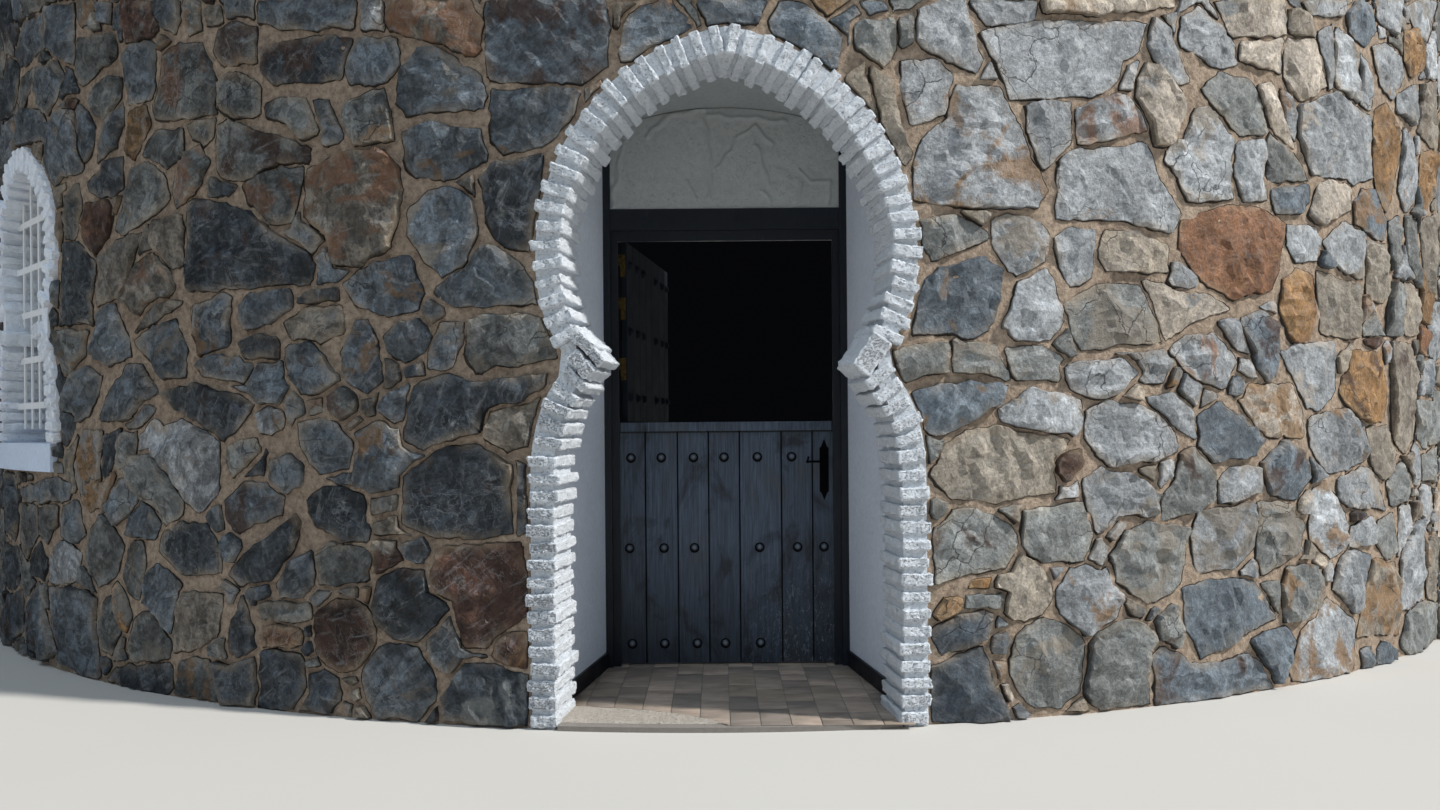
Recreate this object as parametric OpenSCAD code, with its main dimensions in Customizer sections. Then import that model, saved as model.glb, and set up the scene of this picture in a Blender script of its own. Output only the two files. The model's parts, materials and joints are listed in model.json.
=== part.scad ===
/* [Tower wall] */
// Radius of the tower to the faces of its stones
wall_radius = 5450; // [5000:10:6200]
// How far the wall body lies behind the stone faces
stone_relief = 25; // [10:1:45]
// Thickness of the tower wall
wall_thick = 1360; // [1300:10:1600]
// Height of the built stretch of wall
wall_height = 3850; // [3300:10:5000]
// Angle about the tower from the doorway to each end of the stretch
wall_sweep = 57; // [52:0.5:70]
// Angle about the tower of each pier beside the doorway
pier_sweep = 12; // [10.5:0.5:16]

/* [Doorway recess] */
// Distance from the stone faces to the outer face of the leaves
recess_depth = 1060; // [900:5:1100]
// Height of the flat bed over the doorway vault
recess_top = 2800; // [2780:5:2900]
// Height of the wall between the recess and the wall over the gate
head_bed = 60; // [40:5:120]
// Splay of the plastered reveals, in degrees
reveal_splay = 9; // [4:0.5:10]
// Thickness of the plaster on the reveals
plaster = 20; // [8:1:35]
// Height of the vault's crown
vault_crown = 2730; // [2660:5:2760]
// Radius of the segmental vault
vault_radius = 1600; // [1200:10:3000]
// Thickness of the tiled floor
floor_thick = 20; // [10:1:28]
// Height of the skirting
skirting_high = 75; // [50:1:120]
// Thickness of the skirting
skirting_thick = 12; // [6:1:20]
// Splay of the reveals inside the frame, in degrees
inner_splay = 14; // [5:1:20]

/* [Brick ring] */
// Width of the brick faces round the openings
brick_face = 115; // [90:1:130]
// Depth of the bricks into the wall
brick_depth = 285; // [230:1:320]
// How far the bricks stand proud of the stones
brick_proud = 12; // [2:1:30]
// Pitch of the brick courses
brick_pitch = 68; // [50:1:90]
// Angle at which each half of the doorway ring points to the tower's axis
ring_turn = 7.5; // [6:0.1:8.5]
// Half width of the doorway ring at its jambs
jamb_half = 790; // [760:1:820]
// Height of the centre of the lower lobe
lower_centre = 994; // [940:1:1040]
// Height of the centres of the upper lobe
upper_centre = 1852; // [1820:1:1880]
// Radius of the upper lobe
upper_radius = 906; // [890:1:920]
// How far the centres of the upper lobe stand across the middle
upper_offset = 143; // [120:1:160]
// Angle at which the lower lobe reaches the cusp
lower_end = 30; // [26:0.5:31]
// Angle at which the upper lobe leaves the cusp
upper_start = -24; // [-26:0.5:-20]
// Half width between the tips of the cusps
cusp_half = 495; // [470:1:520]
// Height of the face of each cusp's tip
cusp_face = 60; // [30:1:90]

/* [Door frame] */
// Half width of the clear opening between the jambs
clear_half = 520.5; // [500:0.5:540]
// Visible width of each jamb
jamb_wide = 35; // [30:1:50]
// Width of each black post
post_wide = 34; // [25:1:60]
// Height of the clear opening
clear_high = 2086; // [2040:1:2120]
// Height of the frame head
head_high = 49; // [40:1:60]
// Height of the transom beam
transom_high = 104; // [80:1:130]
// How far the transom beam lies behind the faces of the posts
transom_back = 5; // [0:1:12]
// How far the posts stand in front of the leaves
post_front = 50; // [40:1:80]
// How far the jambs stand in front of the leaves
jamb_front = 25; // [20:1:35]
// How far the tympanum's face stands in front of the leaves
tympanum_front = 30; // [20:1:45]
// How far the frame reaches behind the leaves' outer face
frame_back = 45; // [44:1:90]
// Width of the rebate that each leaf shuts into
rebate = 20; // [15:1:24]

/* [Leaves] */
// Gap round each leaf
leaf_gap = 7; // [6:0.5:9]
// Thickness of the boards
board_thick = 26; // [22:1:30]
// Thickness of the ledges behind the boards
ledge_thick = 16; // [10:1:18]
// Height of each ledge
ledge_high = 100; // [70:1:130]
// Gap under the lower leaf
foot_gap = 10; // [6:1:20]
// Height of the top of the lower leaf's boards
lower_boards_top = 1161; // [1120:1:1190]
// Height of the cap rail
cap_high = 44; // [30:1:60]
// How far the cap rail stands out
cap_out = 20; // [12:1:24]
// Gap between each end of the cap rail and the jamb
cap_gap = 9.5; // [6:0.5:14]
// Distance from each edge of a leaf to the ends of its ledges
ledge_inset = 35; // [30:1:60]
// Width of the joint cut between two boards
groove_wide = 8; // [4:1:12]
// Angle at which the upper leaf stands open
upper_open = 82; // [60:1:90]

/* [Door furniture] */
// Distance from the middle of the doorway to the handle plate
plate_x = 477; // [465:1:480]
// Width of the handle plate
plate_wide = 44; // [34:1:46]
// Thickness of the handle plate
plate_thick = 4; // [2:0.5:6]
// Height of the foot of the handle plate
plate_foot = 820; // [806:1:850]
// Length of the handle plate with its spear ends
plate_long = 297; // [260:1:310]
// Length of each spear end
spear_long = 42; // [25:1:60]
// Height of the lever's spindle
spindle_z = 1009; // [980:1:1040]
// Radius of the lever's spindle
spindle_r = 8; // [6:0.5:10]
// How far the lever stands in front of the boards
lever_out = 42; // [35:1:55]
// Length of the lever
lever_long = 84; // [60:1:110]
// Radius of the lever's bar
lever_r = 5.5; // [4:0.5:7]
// Length of the lever's upturned end
lever_rise = 26; // [15:1:35]
// Radius of a hinge knuckle
knuckle_r = 7; // [6:0.5:8]
// Radius of a hinge pin
pin_r = 4; // [3:0.5:5]
// Length of a hinge
hinge_long = 110; // [80:1:140]
// Thickness of a hinge plate
hinge_plate = 2; // [1.5:0.5:3]

/* [Window] */
// Angle about the tower from the doorway to the window, to the left
window_turn = 43.2; // [40:0.1:44]
// Angle about the tower from the window's middle to each side of its bay
window_bay = 6.8; // [6.4:0.1:7.5]
// Half width of the window's ring at its jambs
window_half = 540; // [500:1:560]
// Height of the underside of the sill
sill_foot = 983; // [900:1:1020]
// Height of the sill
sill_high = 142; // [100:1:160]
// How far the sill stands proud of the stones
sill_proud = 8; // [4:1:50]
// How far each end of the sill stops short of the ring's outer line
sill_short = 50; // [0:5:80]
// Height of the centre of the window's lower lobe
window_lower = 1342; // [1320:1:1360]
// Height of the centres of the window's upper lobe
window_upper = 2104; // [2090:1:2120]
// Radius of the window's upper lobe
window_radius = 575; // [560:1:590]
// How far the centres of the window's upper lobe stand across its middle
window_offset = 35; // [20:1:60]
// Angle at which the window's lower lobe reaches the cusp
window_lower_end = 36; // [33:0.5:42]
// Angle at which the window's upper lobe leaves the cusp
window_upper_start = -34; // [-38:0.5:-32]
// Half width between the tips of the window's cusps
window_cusp = 270; // [240:1:290]
// Height of the wall beside the window over the top of its ring
window_bed = 80; // [60:5:120]
// How far the ring hides the edge of the opening behind it
window_hide = 20; // [10:1:40]
// Depth of the grille behind the stone faces
grille_back = 100; // [60:1:150]
// Height of the middle of the grille's lowest flat bar
grille_foot = 1326; // [1300:1:1340]
// Pitch of the grille's flat bars
grille_pitch = 249; // [200:1:300]
// Height of each flat bar of the grille
grille_bar = 34; // [20:1:45]
// Pitch of the grille's upright bars
upright_pitch = 142; // [120:1:200]
// Width of each upright bar
upright_wide = 24; // [16:1:30]
// Distance from the sill to the feet of the upright bars
upright_foot = 75; // [50:1:100]
// Thickness of the grille's bars
grille_thick = 8; // [6:1:12]
// Depth of the window's frame behind the stone faces
window_back = 520; // [400:5:700]
// Width of the members of the window's frame
sash = 60; // [40:1:80]
// Thickness of the glass
glass_thick = 6; // [4:1:10]

/* [Hidden] */

axis_y = wall_radius - recess_depth;
body_radius = wall_radius - stone_relief;
inner_radius = wall_radius - wall_thick;
shoulder = wall_radius - brick_depth;
bed_gap = 2;
seam = 0.05;
over = 50;
round_fn = 360;

transom_foot = clear_high + head_high;
transom_top = transom_foot + transom_high;
jamb_outer = clear_half + jamb_wide;
post_outer = jamb_outer + post_wide;
reveal_run = tan(reveal_splay);
spandrel_top = recess_top + head_bed;

leaf_half = clear_half + rebate - leaf_gap;
leaf_foot = floor_thick + foot_gap;
lower_top = lower_boards_top + cap_high;
upper_foot = lower_top + leaf_gap;
upper_top = clear_high + rebate / 2;
hinge_x = -(leaf_half + leaf_gap / 2);
hinge_play = 1;
hinge_y = frame_back + knuckle_r + hinge_play;
pin_play = 0.05;
spindle_play = 0.1;
spindle_in = 18;
spear_neck = 0.7;
spear_step = 4;
pin_short = 8;
cap_half = clear_half - cap_gap;
board_widths = [134, 154, 148, 148, 200, 148, 112];
lower_ledges = [125, 591, 1032];
upper_ledges = [1330, 1660, 1990];
lower_hinge_z = [250, 985];
upper_hinge_z = [1470, 1768, 1980];

sill_top = sill_foot + sill_high;
window_top = window_upper + window_radius;
window_head = window_top + window_bed;
window_inner = window_half - brick_face + window_hide;
window_inner_top = window_top - brick_face + window_hide;
sill_half = window_half - sill_short;
window_near = window_turn - window_bay;
window_far = window_turn + window_bay;
right_split = (wall_sweep + pier_sweep) / 2;

// Facets of an arc, one for each brick course
function courses(r, sweep) = max(3, round(r * abs(sweep) * PI / 180 / brick_pitch));

// Points along an arc about (cx, cz) from angle a to angle b
function arc(cx, cz, r, a, b, n) =
    [for (i = [0:n]) let (t = a + (b - a) * i / n) [cx + r * cos(t), cz + r * sin(t)]];

// Angle at which an upper lobe of radius r meets the middle line
function apex_angle(r, off) = acos(off / r);

// Line of a keyhole's right side, a distance inset from its outer line, with the cusp's tip
function keyhole_edge(foot, half, low, low_end, high, r, off, high_start, inset, tip) =
    let (
        rr = r - inset, hh = half - inset, top = apex_angle(rr, off),
        z0 = low + hh * sin(low_end), z1 = high + rr * sin(high_start)
    )
    concat(
        [[hh, foot]],
        arc(0, low, hh, 0, low_end, courses(half, low_end)),
        [for (side = inset > 0 ? [-1, 1] : []) [tip, (z0 + z1 + side * cusp_face) / 2]],
        arc(-off, high, rr, high_start, top, courses(r, top - high_start))
    );

// Mirror image of the points of a right side, in the order that closes the outline
function other_half(pts) = [for (i = [len(pts) - 2:-1:0]) [-pts[i][0], pts[i][1]]];

// Point past the middle line, in line with an upper lobe where it meets the middle
function past_middle(high, r, off) =
    let (rise = sqrt(r * r - off * off)) [-over, high + rise + over * off / rise];

// Points in reverse order
function backwards(pts) = [for (i = [len(pts) - 1:-1:0]) pts[i]];

// Turns about the tower's axis, with the wall towards -Y
module about_tower(angle) {
    translate([0, axis_y, 0]) rotate([0, 0, angle]) children();
}

// Moves what is drawn at the doorway round the tower to the window
module at_window() {
    about_tower(-window_turn) translate([0, -axis_y, 0]) children();
}

// Mirror image across the middle of the doorway or the window
module left() {
    mirror([1, 0, 0]) children();
}

// Curved block of the tower between two radii, two angles and two heights
module tower_block(r0, r1, a0, a1, z0, z1) {
    about_tower(a0 - 90) translate([0, 0, z0])
        rotate_extrude(angle = a1 - a0, $fn = round_fn)
            translate([r0, 0]) square([r1 - r0, z1 - z0]);
}

// Solid drum about the tower's axis
module drum(r, z0, z1) {
    about_tower(0) translate([0, 0, z0]) cylinder(r = r, h = z1 - z0, $fn = round_fn);
}

// Prism of an outline on the wall, pointing to the tower's axis at one angle
module wall_prism(angle, shift = 0) {
    about_tower(angle) translate([0, -(shoulder - 3 * over), 0])
        rotate([90, 0, 0]) linear_extrude(height = brick_depth + 5 * over)
            translate([-shift, 0]) children();
}

// The same for the right half of the doorway, which is set out along the wall's face
module doorway_prism() {
    wall_prism(ring_turn, wall_radius * ring_turn * PI / 180) children();
}

// Keeps what lies in the brick ring's depth on the right of the doorway
module in_ring_depth() {
    intersection() {
        children();
        tower_block(shoulder, wall_radius + brick_proud, 0, pier_sweep + 2, 0, recess_top);
    }
}

function doorway_edge(foot) =
    keyhole_edge(foot, jamb_half, lower_centre, lower_end, upper_centre, upper_radius,
        upper_offset, upper_start, 0, 0);

// Corners of the cusp between the lobes
function cusp_points(inset) = [
    [(jamb_half - inset) * cos(lower_end), lower_centre + (jamb_half - inset) * sin(lower_end)],
    [(upper_radius - inset) * cos(upper_start) - upper_offset,
        upper_centre + (upper_radius - inset) * sin(upper_start)]
];

module ring_piece(pts) {
    in_ring_depth() doorway_prism() polygon(pts);
}

module ring_jamb() {
    color("white") ring_piece([
        [jamb_half - brick_face, 0], [jamb_half, 0],
        [jamb_half, lower_centre], [jamb_half - brick_face, lower_centre]
    ]);
}

module ring_lower() {
    n = courses(jamb_half, lower_end);
    color("white") ring_piece(concat(
        arc(0, lower_centre, jamb_half, 0, lower_end, n),
        arc(0, lower_centre, jamb_half - brick_face, lower_end, 0, n)
    ));
}

module ring_cusp() {
    outer = cusp_points(0);
    inner = cusp_points(brick_face);
    tip = (inner[0][1] + inner[1][1]) / 2;
    color("white") ring_piece([
        outer[0], outer[1], inner[1],
        [cusp_half, tip + cusp_face / 2], [cusp_half, tip - cusp_face / 2],
        inner[0]
    ]);
}

module ring_upper() {
    top = apex_angle(upper_radius, upper_offset);
    n = courses(upper_radius, top - upper_start);
    inner_top = apex_angle(upper_radius - brick_face, upper_offset);
    color("white") ring_piece(concat(
        arc(-upper_offset, upper_centre, upper_radius, upper_start, top, n),
        [past_middle(upper_centre, upper_radius, upper_offset)],
        [past_middle(upper_centre, upper_radius - brick_face, upper_offset)],
        arc(-upper_offset, upper_centre, upper_radius - brick_face, inner_top, upper_start, n)
    ));
}

// Half width of the plaster faces at a distance y from the leaves
function reveal_half(y) = post_outer + (-post_front - y) * reveal_run;

// Room that the ring and the recess take out of the wall, on the right
module doorway_room() {
    y_in = axis_y - inner_radius * cos(pier_sweep) + over;
    y_out = -recess_depth;
    y_fr = -post_front;
    intersection() {
        doorway_prism() polygon(concat([[-over, -over]], doorway_edge(-over),
            [past_middle(upper_centre, upper_radius, upper_offset)]));
        tower_block(shoulder - bed_gap, wall_radius + over, -2, pier_sweep + 2,
            -over, recess_top + over);
    }
    intersection() {
        translate([0, 0, -over]) linear_extrude(height = recess_top + over)
            polygon([[-over, y_out], [reveal_half(y_out) + plaster, y_out],
                [reveal_half(y_fr) + plaster, y_fr], [post_outer, y_fr],
                [post_outer, frame_back], [-over, frame_back]]);
        drum(shoulder - bed_gap / 2, -2 * over, recess_top + over);
    }
    translate([0, 0, -over]) linear_extrude(height = transom_top + over)
        polygon([[-over, frame_back - 1], [post_outer, frame_back - 1], [post_outer, frame_back],
            [post_outer + (y_in - frame_back) * tan(inner_splay), y_in], [-over, y_in]]);
}

// Block of the wall's body, a hair clear of the blocks beside it and under it
module wall_block(a0, a1, z0, z1) {
    turn = seam / inner_radius * 180 / PI;
    tower_block(inner_radius, body_radius, a0 + turn, a1 - turn, z0 > 0 ? z0 + seam : 0, z1);
}

module gate_pier() {
    color("slategray") difference() {
        wall_block(0, pier_sweep, 0, upper_centre);
        doorway_room();
    }
}

module spandrel() {
    color("slategray") difference() {
        wall_block(0, pier_sweep, upper_centre, spandrel_top);
        doorway_room();
    }
}

module plain_wall(a0, a1, z0 = 0, z1 = wall_height) {
    color("slategray") wall_block(a0, a1, z0, z1);
}

// Tiled floor from the face of the ring to the room
module threshold_floor() {
    y_out = -recess_depth - over;
    y_in = axis_y - inner_radius;
    y_fr = -post_front;
    half_in = jamb_half - brick_face / 2;
    color("tan") difference() {
        intersection() {
            linear_extrude(height = floor_thick) union() {
                polygon([[-half_in, y_out], [half_in, y_out],
                    [half_in, axis_y - shoulder * cos(ring_turn)],
                    [-half_in, axis_y - shoulder * cos(ring_turn)]]);
                polygon([[-post_outer, -post_front], [post_outer, -post_front],
                    [post_outer, y_in], [-post_outer, y_in]]);
            }
            drum(wall_radius + brick_proud, -over, recess_top);
        }
        ring_jamb_room();
        left() ring_jamb_room();
    }
    color("tan") intersection() {
        linear_extrude(height = floor_thick)
            polygon([
                [-reveal_half(y_out) - plaster, y_out], [reveal_half(y_out) + plaster, y_out],
                [reveal_half(y_fr) + plaster, y_fr], [-reveal_half(y_fr) - plaster, y_fr]]);
        drum(shoulder - bed_gap, -over, recess_top);
    }
}

module ring_jamb_room() {
    doorway_prism() polygon([
        [jamb_half - brick_face, -over], [jamb_half + over, -over],
        [jamb_half + over, lower_centre], [jamb_half - brick_face, lower_centre]
    ]);
}

// Plaster coat of the right reveal, standing on the floor
module reveal() {
    y_out = -recess_depth;
    y_fr = -post_front;
    color("gainsboro") intersection() {
        translate([0, 0, floor_thick]) linear_extrude(height = recess_top - floor_thick)
            polygon([
                [reveal_half(y_out), y_out], [reveal_half(y_out) + plaster, y_out],
                [reveal_half(y_fr) + plaster, y_fr], [reveal_half(y_fr), y_fr]]);
        drum(shoulder - bed_gap, 0, recess_top);
    }
}

// Skirting along the foot of both reveals
module skirting() {
    y_out = -recess_depth;
    y_fr = -post_front;
    color("dimgray") intersection() {
        for (side = [0, 1]) mirror([side, 0, 0])
            translate([0, 0, floor_thick]) linear_extrude(height = skirting_high)
                polygon([
                    [reveal_half(y_out) - skirting_thick, y_out], [reveal_half(y_out), y_out],
                    [reveal_half(y_fr), y_fr], [reveal_half(y_fr) - skirting_thick, y_fr]]);
        drum(shoulder - bed_gap, 0, recess_top);
    }
}

// Segmental vault between the reveals, with a flat back
module doorway_vault() {
    y_out = -recess_depth;
    y_fr = -post_front;
    y_ty = -tympanum_front;
    springing = vault_crown - vault_radius * (1 - cos(asin(reveal_half(y_out) / vault_radius)));
    color("gainsboro") difference() {
        intersection() {
            translate([0, 0, springing - over])
                linear_extrude(height = recess_top - springing + over)
                    polygon([
                        [-reveal_half(y_out), y_out], [reveal_half(y_out), y_out],
                        [reveal_half(y_fr), y_fr], [jamb_outer, y_fr], [jamb_outer, y_ty],
                        [-jamb_outer, y_ty], [-jamb_outer, y_fr], [-reveal_half(y_fr), y_fr]]);
            drum(shoulder - bed_gap, 0, recess_top);
        }
        translate([0, over, vault_crown - vault_radius]) rotate([90, 0, 0])
            cylinder(r = vault_radius, h = recess_depth + 2 * over, $fn = round_fn);
    }
}

module tympanum() {
    color("whitesmoke") translate([-jamb_outer, -tympanum_front, transom_top])
        cube([2 * jamb_outer, tympanum_front + frame_back, recess_top - transom_top]);
}

module frame_post() {
    color("#202327") translate([jamb_outer, -post_front, floor_thick])
        cube([post_wide, post_front + frame_back, recess_top - floor_thick]);
}

module transom_beam() {
    color("#2a2e33") translate([-jamb_outer, transom_back - post_front, transom_foot])
        cube([2 * jamb_outer, post_front - transom_back + frame_back, transom_high]);
}

// Rebated jamb, with the stop of the leaves on its outer side
module door_jamb() {
    color("#33383e") translate([0, 0, floor_thick])
        linear_extrude(height = transom_foot - floor_thick)
            polygon([
                [clear_half, -jamb_front], [jamb_outer, -jamb_front], [jamb_outer, frame_back],
                [clear_half + rebate, frame_back], [clear_half + rebate, -leaf_gap],
                [clear_half, -leaf_gap]]);
}

module door_head() {
    color("#33383e") translate([-clear_half, 0, 0]) rotate([90, 0, 90])
        linear_extrude(height = 2 * clear_half)
            polygon([
                [-jamb_front, clear_high], [-jamb_front, transom_foot], [frame_back, transom_foot],
                [frame_back, clear_high + rebate], [-leaf_gap, clear_high + rebate],
                [-leaf_gap, clear_high]]);
}

// Boards of a leaf with a cut joint between each two
module boards(z0, z1) {
    share = 2 * leaf_half / running(board_widths, len(board_widths) - 1);
    difference() {
        translate([-leaf_half, 0, z0]) cube([2 * leaf_half, board_thick, z1 - z0]);
        for (i = [0:len(board_widths) - 2])
            translate([-leaf_half + share * running(board_widths, i), 0, z0 - 1])
                linear_extrude(height = z1 - z0 + 2)
                    polygon([[-groove_wide / 2, -1], [-groove_wide / 2, 0], [0, groove_wide * 0.8],
                        [groove_wide / 2, 0], [groove_wide / 2, -1]]);
    }
}

// Sum of the first values of a list, up to number i
function running(list, i) = i < 0 ? 0 : list[i] + running(list, i - 1);

module ledges(heights) {
    for (z = heights)
        translate([-leaf_half + ledge_inset, board_thick, z - ledge_high / 2])
            cube([2 * (leaf_half - ledge_inset), ledge_thick, ledge_high]);
}

// Mortises of the hinge plates in a leaf's edge
module hinge_mortises(heights) {
    for (z = heights)
        translate([-leaf_half - 1, board_thick / 4, z - hinge_long / 2])
            cube([1 + hinge_plate, board_thick, hinge_long]);
}

module lower_leaf() {
    color("#3a4048") difference() {
        union() {
            boards(leaf_foot, lower_boards_top);
            ledges(lower_ledges);
        }
        hinge_mortises(lower_hinge_z);
        translate([plate_x, spindle_in + 2, spindle_z]) rotate([90, 0, 0])
            cylinder(r = spindle_r + spindle_play, h = board_thick, $fn = 32);
    }
}

module cap_rail() {
    color("#30353c") translate([-leaf_half, 0, lower_boards_top]) {
        cube([2 * leaf_half, board_thick + ledge_thick, cap_high]);
        translate([leaf_half - cap_half, -cap_out, 0])
            cube([2 * cap_half, cap_out, cap_high]);
    }
}

module handle_plate() {
    mid = plate_long / 2;
    body = mid - spear_long;
    half = plate_wide / 2;
    neck = half * spear_neck;
    color("#15171a") difference() {
        translate([plate_x, 0, plate_foot + mid]) rotate([90, 0, 0])
            linear_extrude(height = plate_thick)
                polygon([
                    [-half, -body], [-neck, -body - spear_step], [0, -mid],
                    [neck, -body - spear_step], [half, -body], [half, body],
                    [neck, body + spear_step], [0, mid],
                    [-neck, body + spear_step], [-half, body]]);
        translate([plate_x, 1, spindle_z]) rotate([90, 0, 0])
            cylinder(r = spindle_r + spindle_play, h = plate_thick + 2, $fn = 32);
    }
}

// Lever with its spindle, a bar to the left and an upturned end
module handle_lever() {
    color("#15171a") translate([plate_x, 0, spindle_z]) {
        translate([0, spindle_in, 0]) rotate([90, 0, 0])
            cylinder(r = spindle_r, h = spindle_in + lever_out + lever_r + 3, $fn = 32);
        translate([0, -lever_out, 0]) rotate([0, -90, 0])
            cylinder(r = lever_r, h = lever_long, $fn = 24);
        translate([-lever_long, -lever_out, 0]) sphere(r = lever_r + 2, $fn = 24);
        translate([-lever_long, -lever_out, 0]) rotate([0, 10, 0])
            cylinder(r = lever_r - 1, h = lever_rise, $fn = 24);
    }
}

// Frame half of each hinge, with its pin in the lower knuckle
module frame_hinges() {
    color("goldenrod") for (z = concat(lower_hinge_z, upper_hinge_z)) translate([0, 0, z]) {
        translate([hinge_x, hinge_y, -hinge_long / 2]) {
            cylinder(r = knuckle_r, h = hinge_long / 2 - hinge_play, $fn = 32);
            cylinder(r = pin_r, h = hinge_long - pin_short, $fn = 32);
        }
        translate([-(clear_half + rebate), board_thick / 2, -hinge_long / 2])
            cube([hinge_plate, hinge_y - board_thick / 2, hinge_long / 2 - hinge_play]);
    }
}

// Leaf half of each hinge, with its plate let into the leaf's edge over the hinge's full length
module leaf_hinges(heights) {
    color("goldenrod") for (z = heights) translate([0, 0, z]) difference() {
        union() {
            translate([hinge_x, hinge_y, 0])
                cylinder(r = knuckle_r, h = hinge_long / 2, $fn = 32);
            translate([-leaf_half, board_thick / 4, 0])
                cube([hinge_plate, hinge_y - board_thick / 4, hinge_long / 2]);
            translate([-leaf_half, board_thick / 4, -hinge_long / 2])
                cube([hinge_plate, board_thick, hinge_long / 2 + 1]);
        }
        translate([hinge_x, hinge_y, -1])
            cylinder(r = pin_r + pin_play, h = (hinge_long - pin_short) / 2 + 1, $fn = 32);
    }
}

// Turns a piece of the upper leaf from shut to where it stands open
module opened() {
    translate([hinge_x, hinge_y, 0]) rotate([0, 0, upper_open])
        translate([-hinge_x, -hinge_y, 0]) children();
}

module upper_leaf() {
    color("#3a4048") opened() difference() {
        union() {
            boards(upper_foot, upper_top);
            ledges(upper_ledges);
        }
        hinge_mortises(upper_hinge_z);
    }
}

function window_edge(inset) =
    keyhole_edge(sill_top, window_half, window_lower, window_lower_end, window_upper,
        window_radius, window_offset, window_upper_start, inset, window_cusp);

// Room that the window takes out of the wall, drawn at the doorway
module window_room() {
    edge = window_edge(0);
    intersection() {
        wall_prism(0) {
            polygon(concat(edge, other_half(edge)));
            translate([-sill_half, sill_foot]) square([2 * sill_half, sill_high + 1]);
        }
        tower_block(shoulder - bed_gap, wall_radius + over, -window_bay - 1, window_bay + 1,
            0, wall_height);
    }
    window_box(inner_radius - over, shoulder, window_inner, sill_top, window_inner_top);
}

// Box behind the window between two distances from the tower's axis
module window_box(r0, r1, half, z0, z1) {
    translate([-half, axis_y - r1, z0]) cube([2 * half, r1 - r0, z1 - z0]);
}

module window_side() {
    color("slategray") difference() {
        wall_block(0, window_bay, sill_foot, window_head);
        window_room();
    }
}

module window_ring() {
    outer = window_edge(0);
    inner = window_edge(brick_face);
    color("white") intersection() {
        wall_prism(0) polygon(concat(outer, other_half(outer),
            backwards(concat(inner, other_half(inner)))));
        tower_block(shoulder, wall_radius + brick_proud, -window_bay, window_bay,
            sill_top, window_head);
    }
}

module window_sill() {
    color("white") intersection() {
        wall_prism(0) translate([-sill_half, sill_foot])
            square([2 * sill_half, sill_high]);
        tower_block(shoulder, wall_radius + sill_proud, -window_bay, window_bay,
            sill_foot, sill_top);
    }
}

// Flat bars and uprights, trimmed to the inner line of the ring
module window_grille() {
    edge = window_edge(brick_face);
    r0 = wall_radius - grille_back;
    r1 = r0 + grille_thick;
    color("white") intersection() {
        wall_prism(0) polygon(concat(edge, other_half(edge)));
        union() {
            for (z = [grille_foot:grille_pitch:window_inner_top])
                window_box(r0, r1, window_half, z - grille_bar / 2, z + grille_bar / 2);
            for (i = [-2:2])
                translate([i * upright_pitch, 0, 0])
                    window_box(r0, r1, upright_wide / 2, sill_top + upright_foot, window_head);
        }
    }
}

module window_frame() {
    r = wall_radius - window_back;
    color("saddlebrown") difference() {
        window_box(r - sash, r, window_inner, sill_top, window_inner_top);
        window_box(r - sash - 1, r + 1, window_inner - sash, sill_top + sash,
            window_inner_top - sash);
    }
}

module window_glass() {
    r = wall_radius - window_back - (sash + glass_thick) / 2;
    color("lightblue") window_box(r, r + glass_thick, window_inner - sash, sill_top + sash,
        window_inner_top - sash);
}

plain_wall(-wall_sweep, -window_far);  // wall_left_end
plain_wall(-window_far, -window_near, 0, sill_foot);  // wall_below_window
at_window() left() window_side();  // window_side_left
at_window() window_side();  // window_side_right
plain_wall(-window_far, -window_near, window_head, wall_height);  // wall_over_window
plain_wall(-window_near, -pier_sweep);  // wall_left
left() gate_pier();  // gate_pier_left
gate_pier();  // gate_pier_right
left() spandrel();  // spandrel_left
spandrel();  // spandrel_right
plain_wall(-pier_sweep, pier_sweep, spandrel_top, wall_height);  // wall_over_gate
plain_wall(pier_sweep, right_split);  // wall_right
plain_wall(right_split, wall_sweep);  // wall_right_end
left() ring_jamb();  // ring_jamb_left
ring_jamb();  // ring_jamb_right
left() ring_lower();  // ring_lower_left
ring_lower();  // ring_lower_right
left() ring_cusp();  // ring_cusp_left
ring_cusp();  // ring_cusp_right
left() ring_upper();  // ring_upper_left
ring_upper();  // ring_upper_right
threshold_floor();
left() reveal();  // reveal_left
reveal();  // reveal_right
doorway_vault();
tympanum();
skirting();
left() frame_post();  // frame_post_left
frame_post();  // frame_post_right
transom_beam();
left() door_jamb();  // door_jamb_left
door_jamb();  // door_jamb_right
door_head();
frame_hinges();
lower_leaf();
cap_rail();
handle_plate();
leaf_hinges(lower_hinge_z);  // lower_hinges
handle_lever();
upper_leaf();
opened() leaf_hinges(upper_hinge_z);  // upper_hinges
at_window() window_ring();
at_window() window_sill();
at_window() window_grille();
at_window() window_frame();
at_window() window_glass();
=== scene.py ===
import json
import math
import random
import bpy
import numpy as np
from mathutils import Matrix, Vector, geometry, noise


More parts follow.
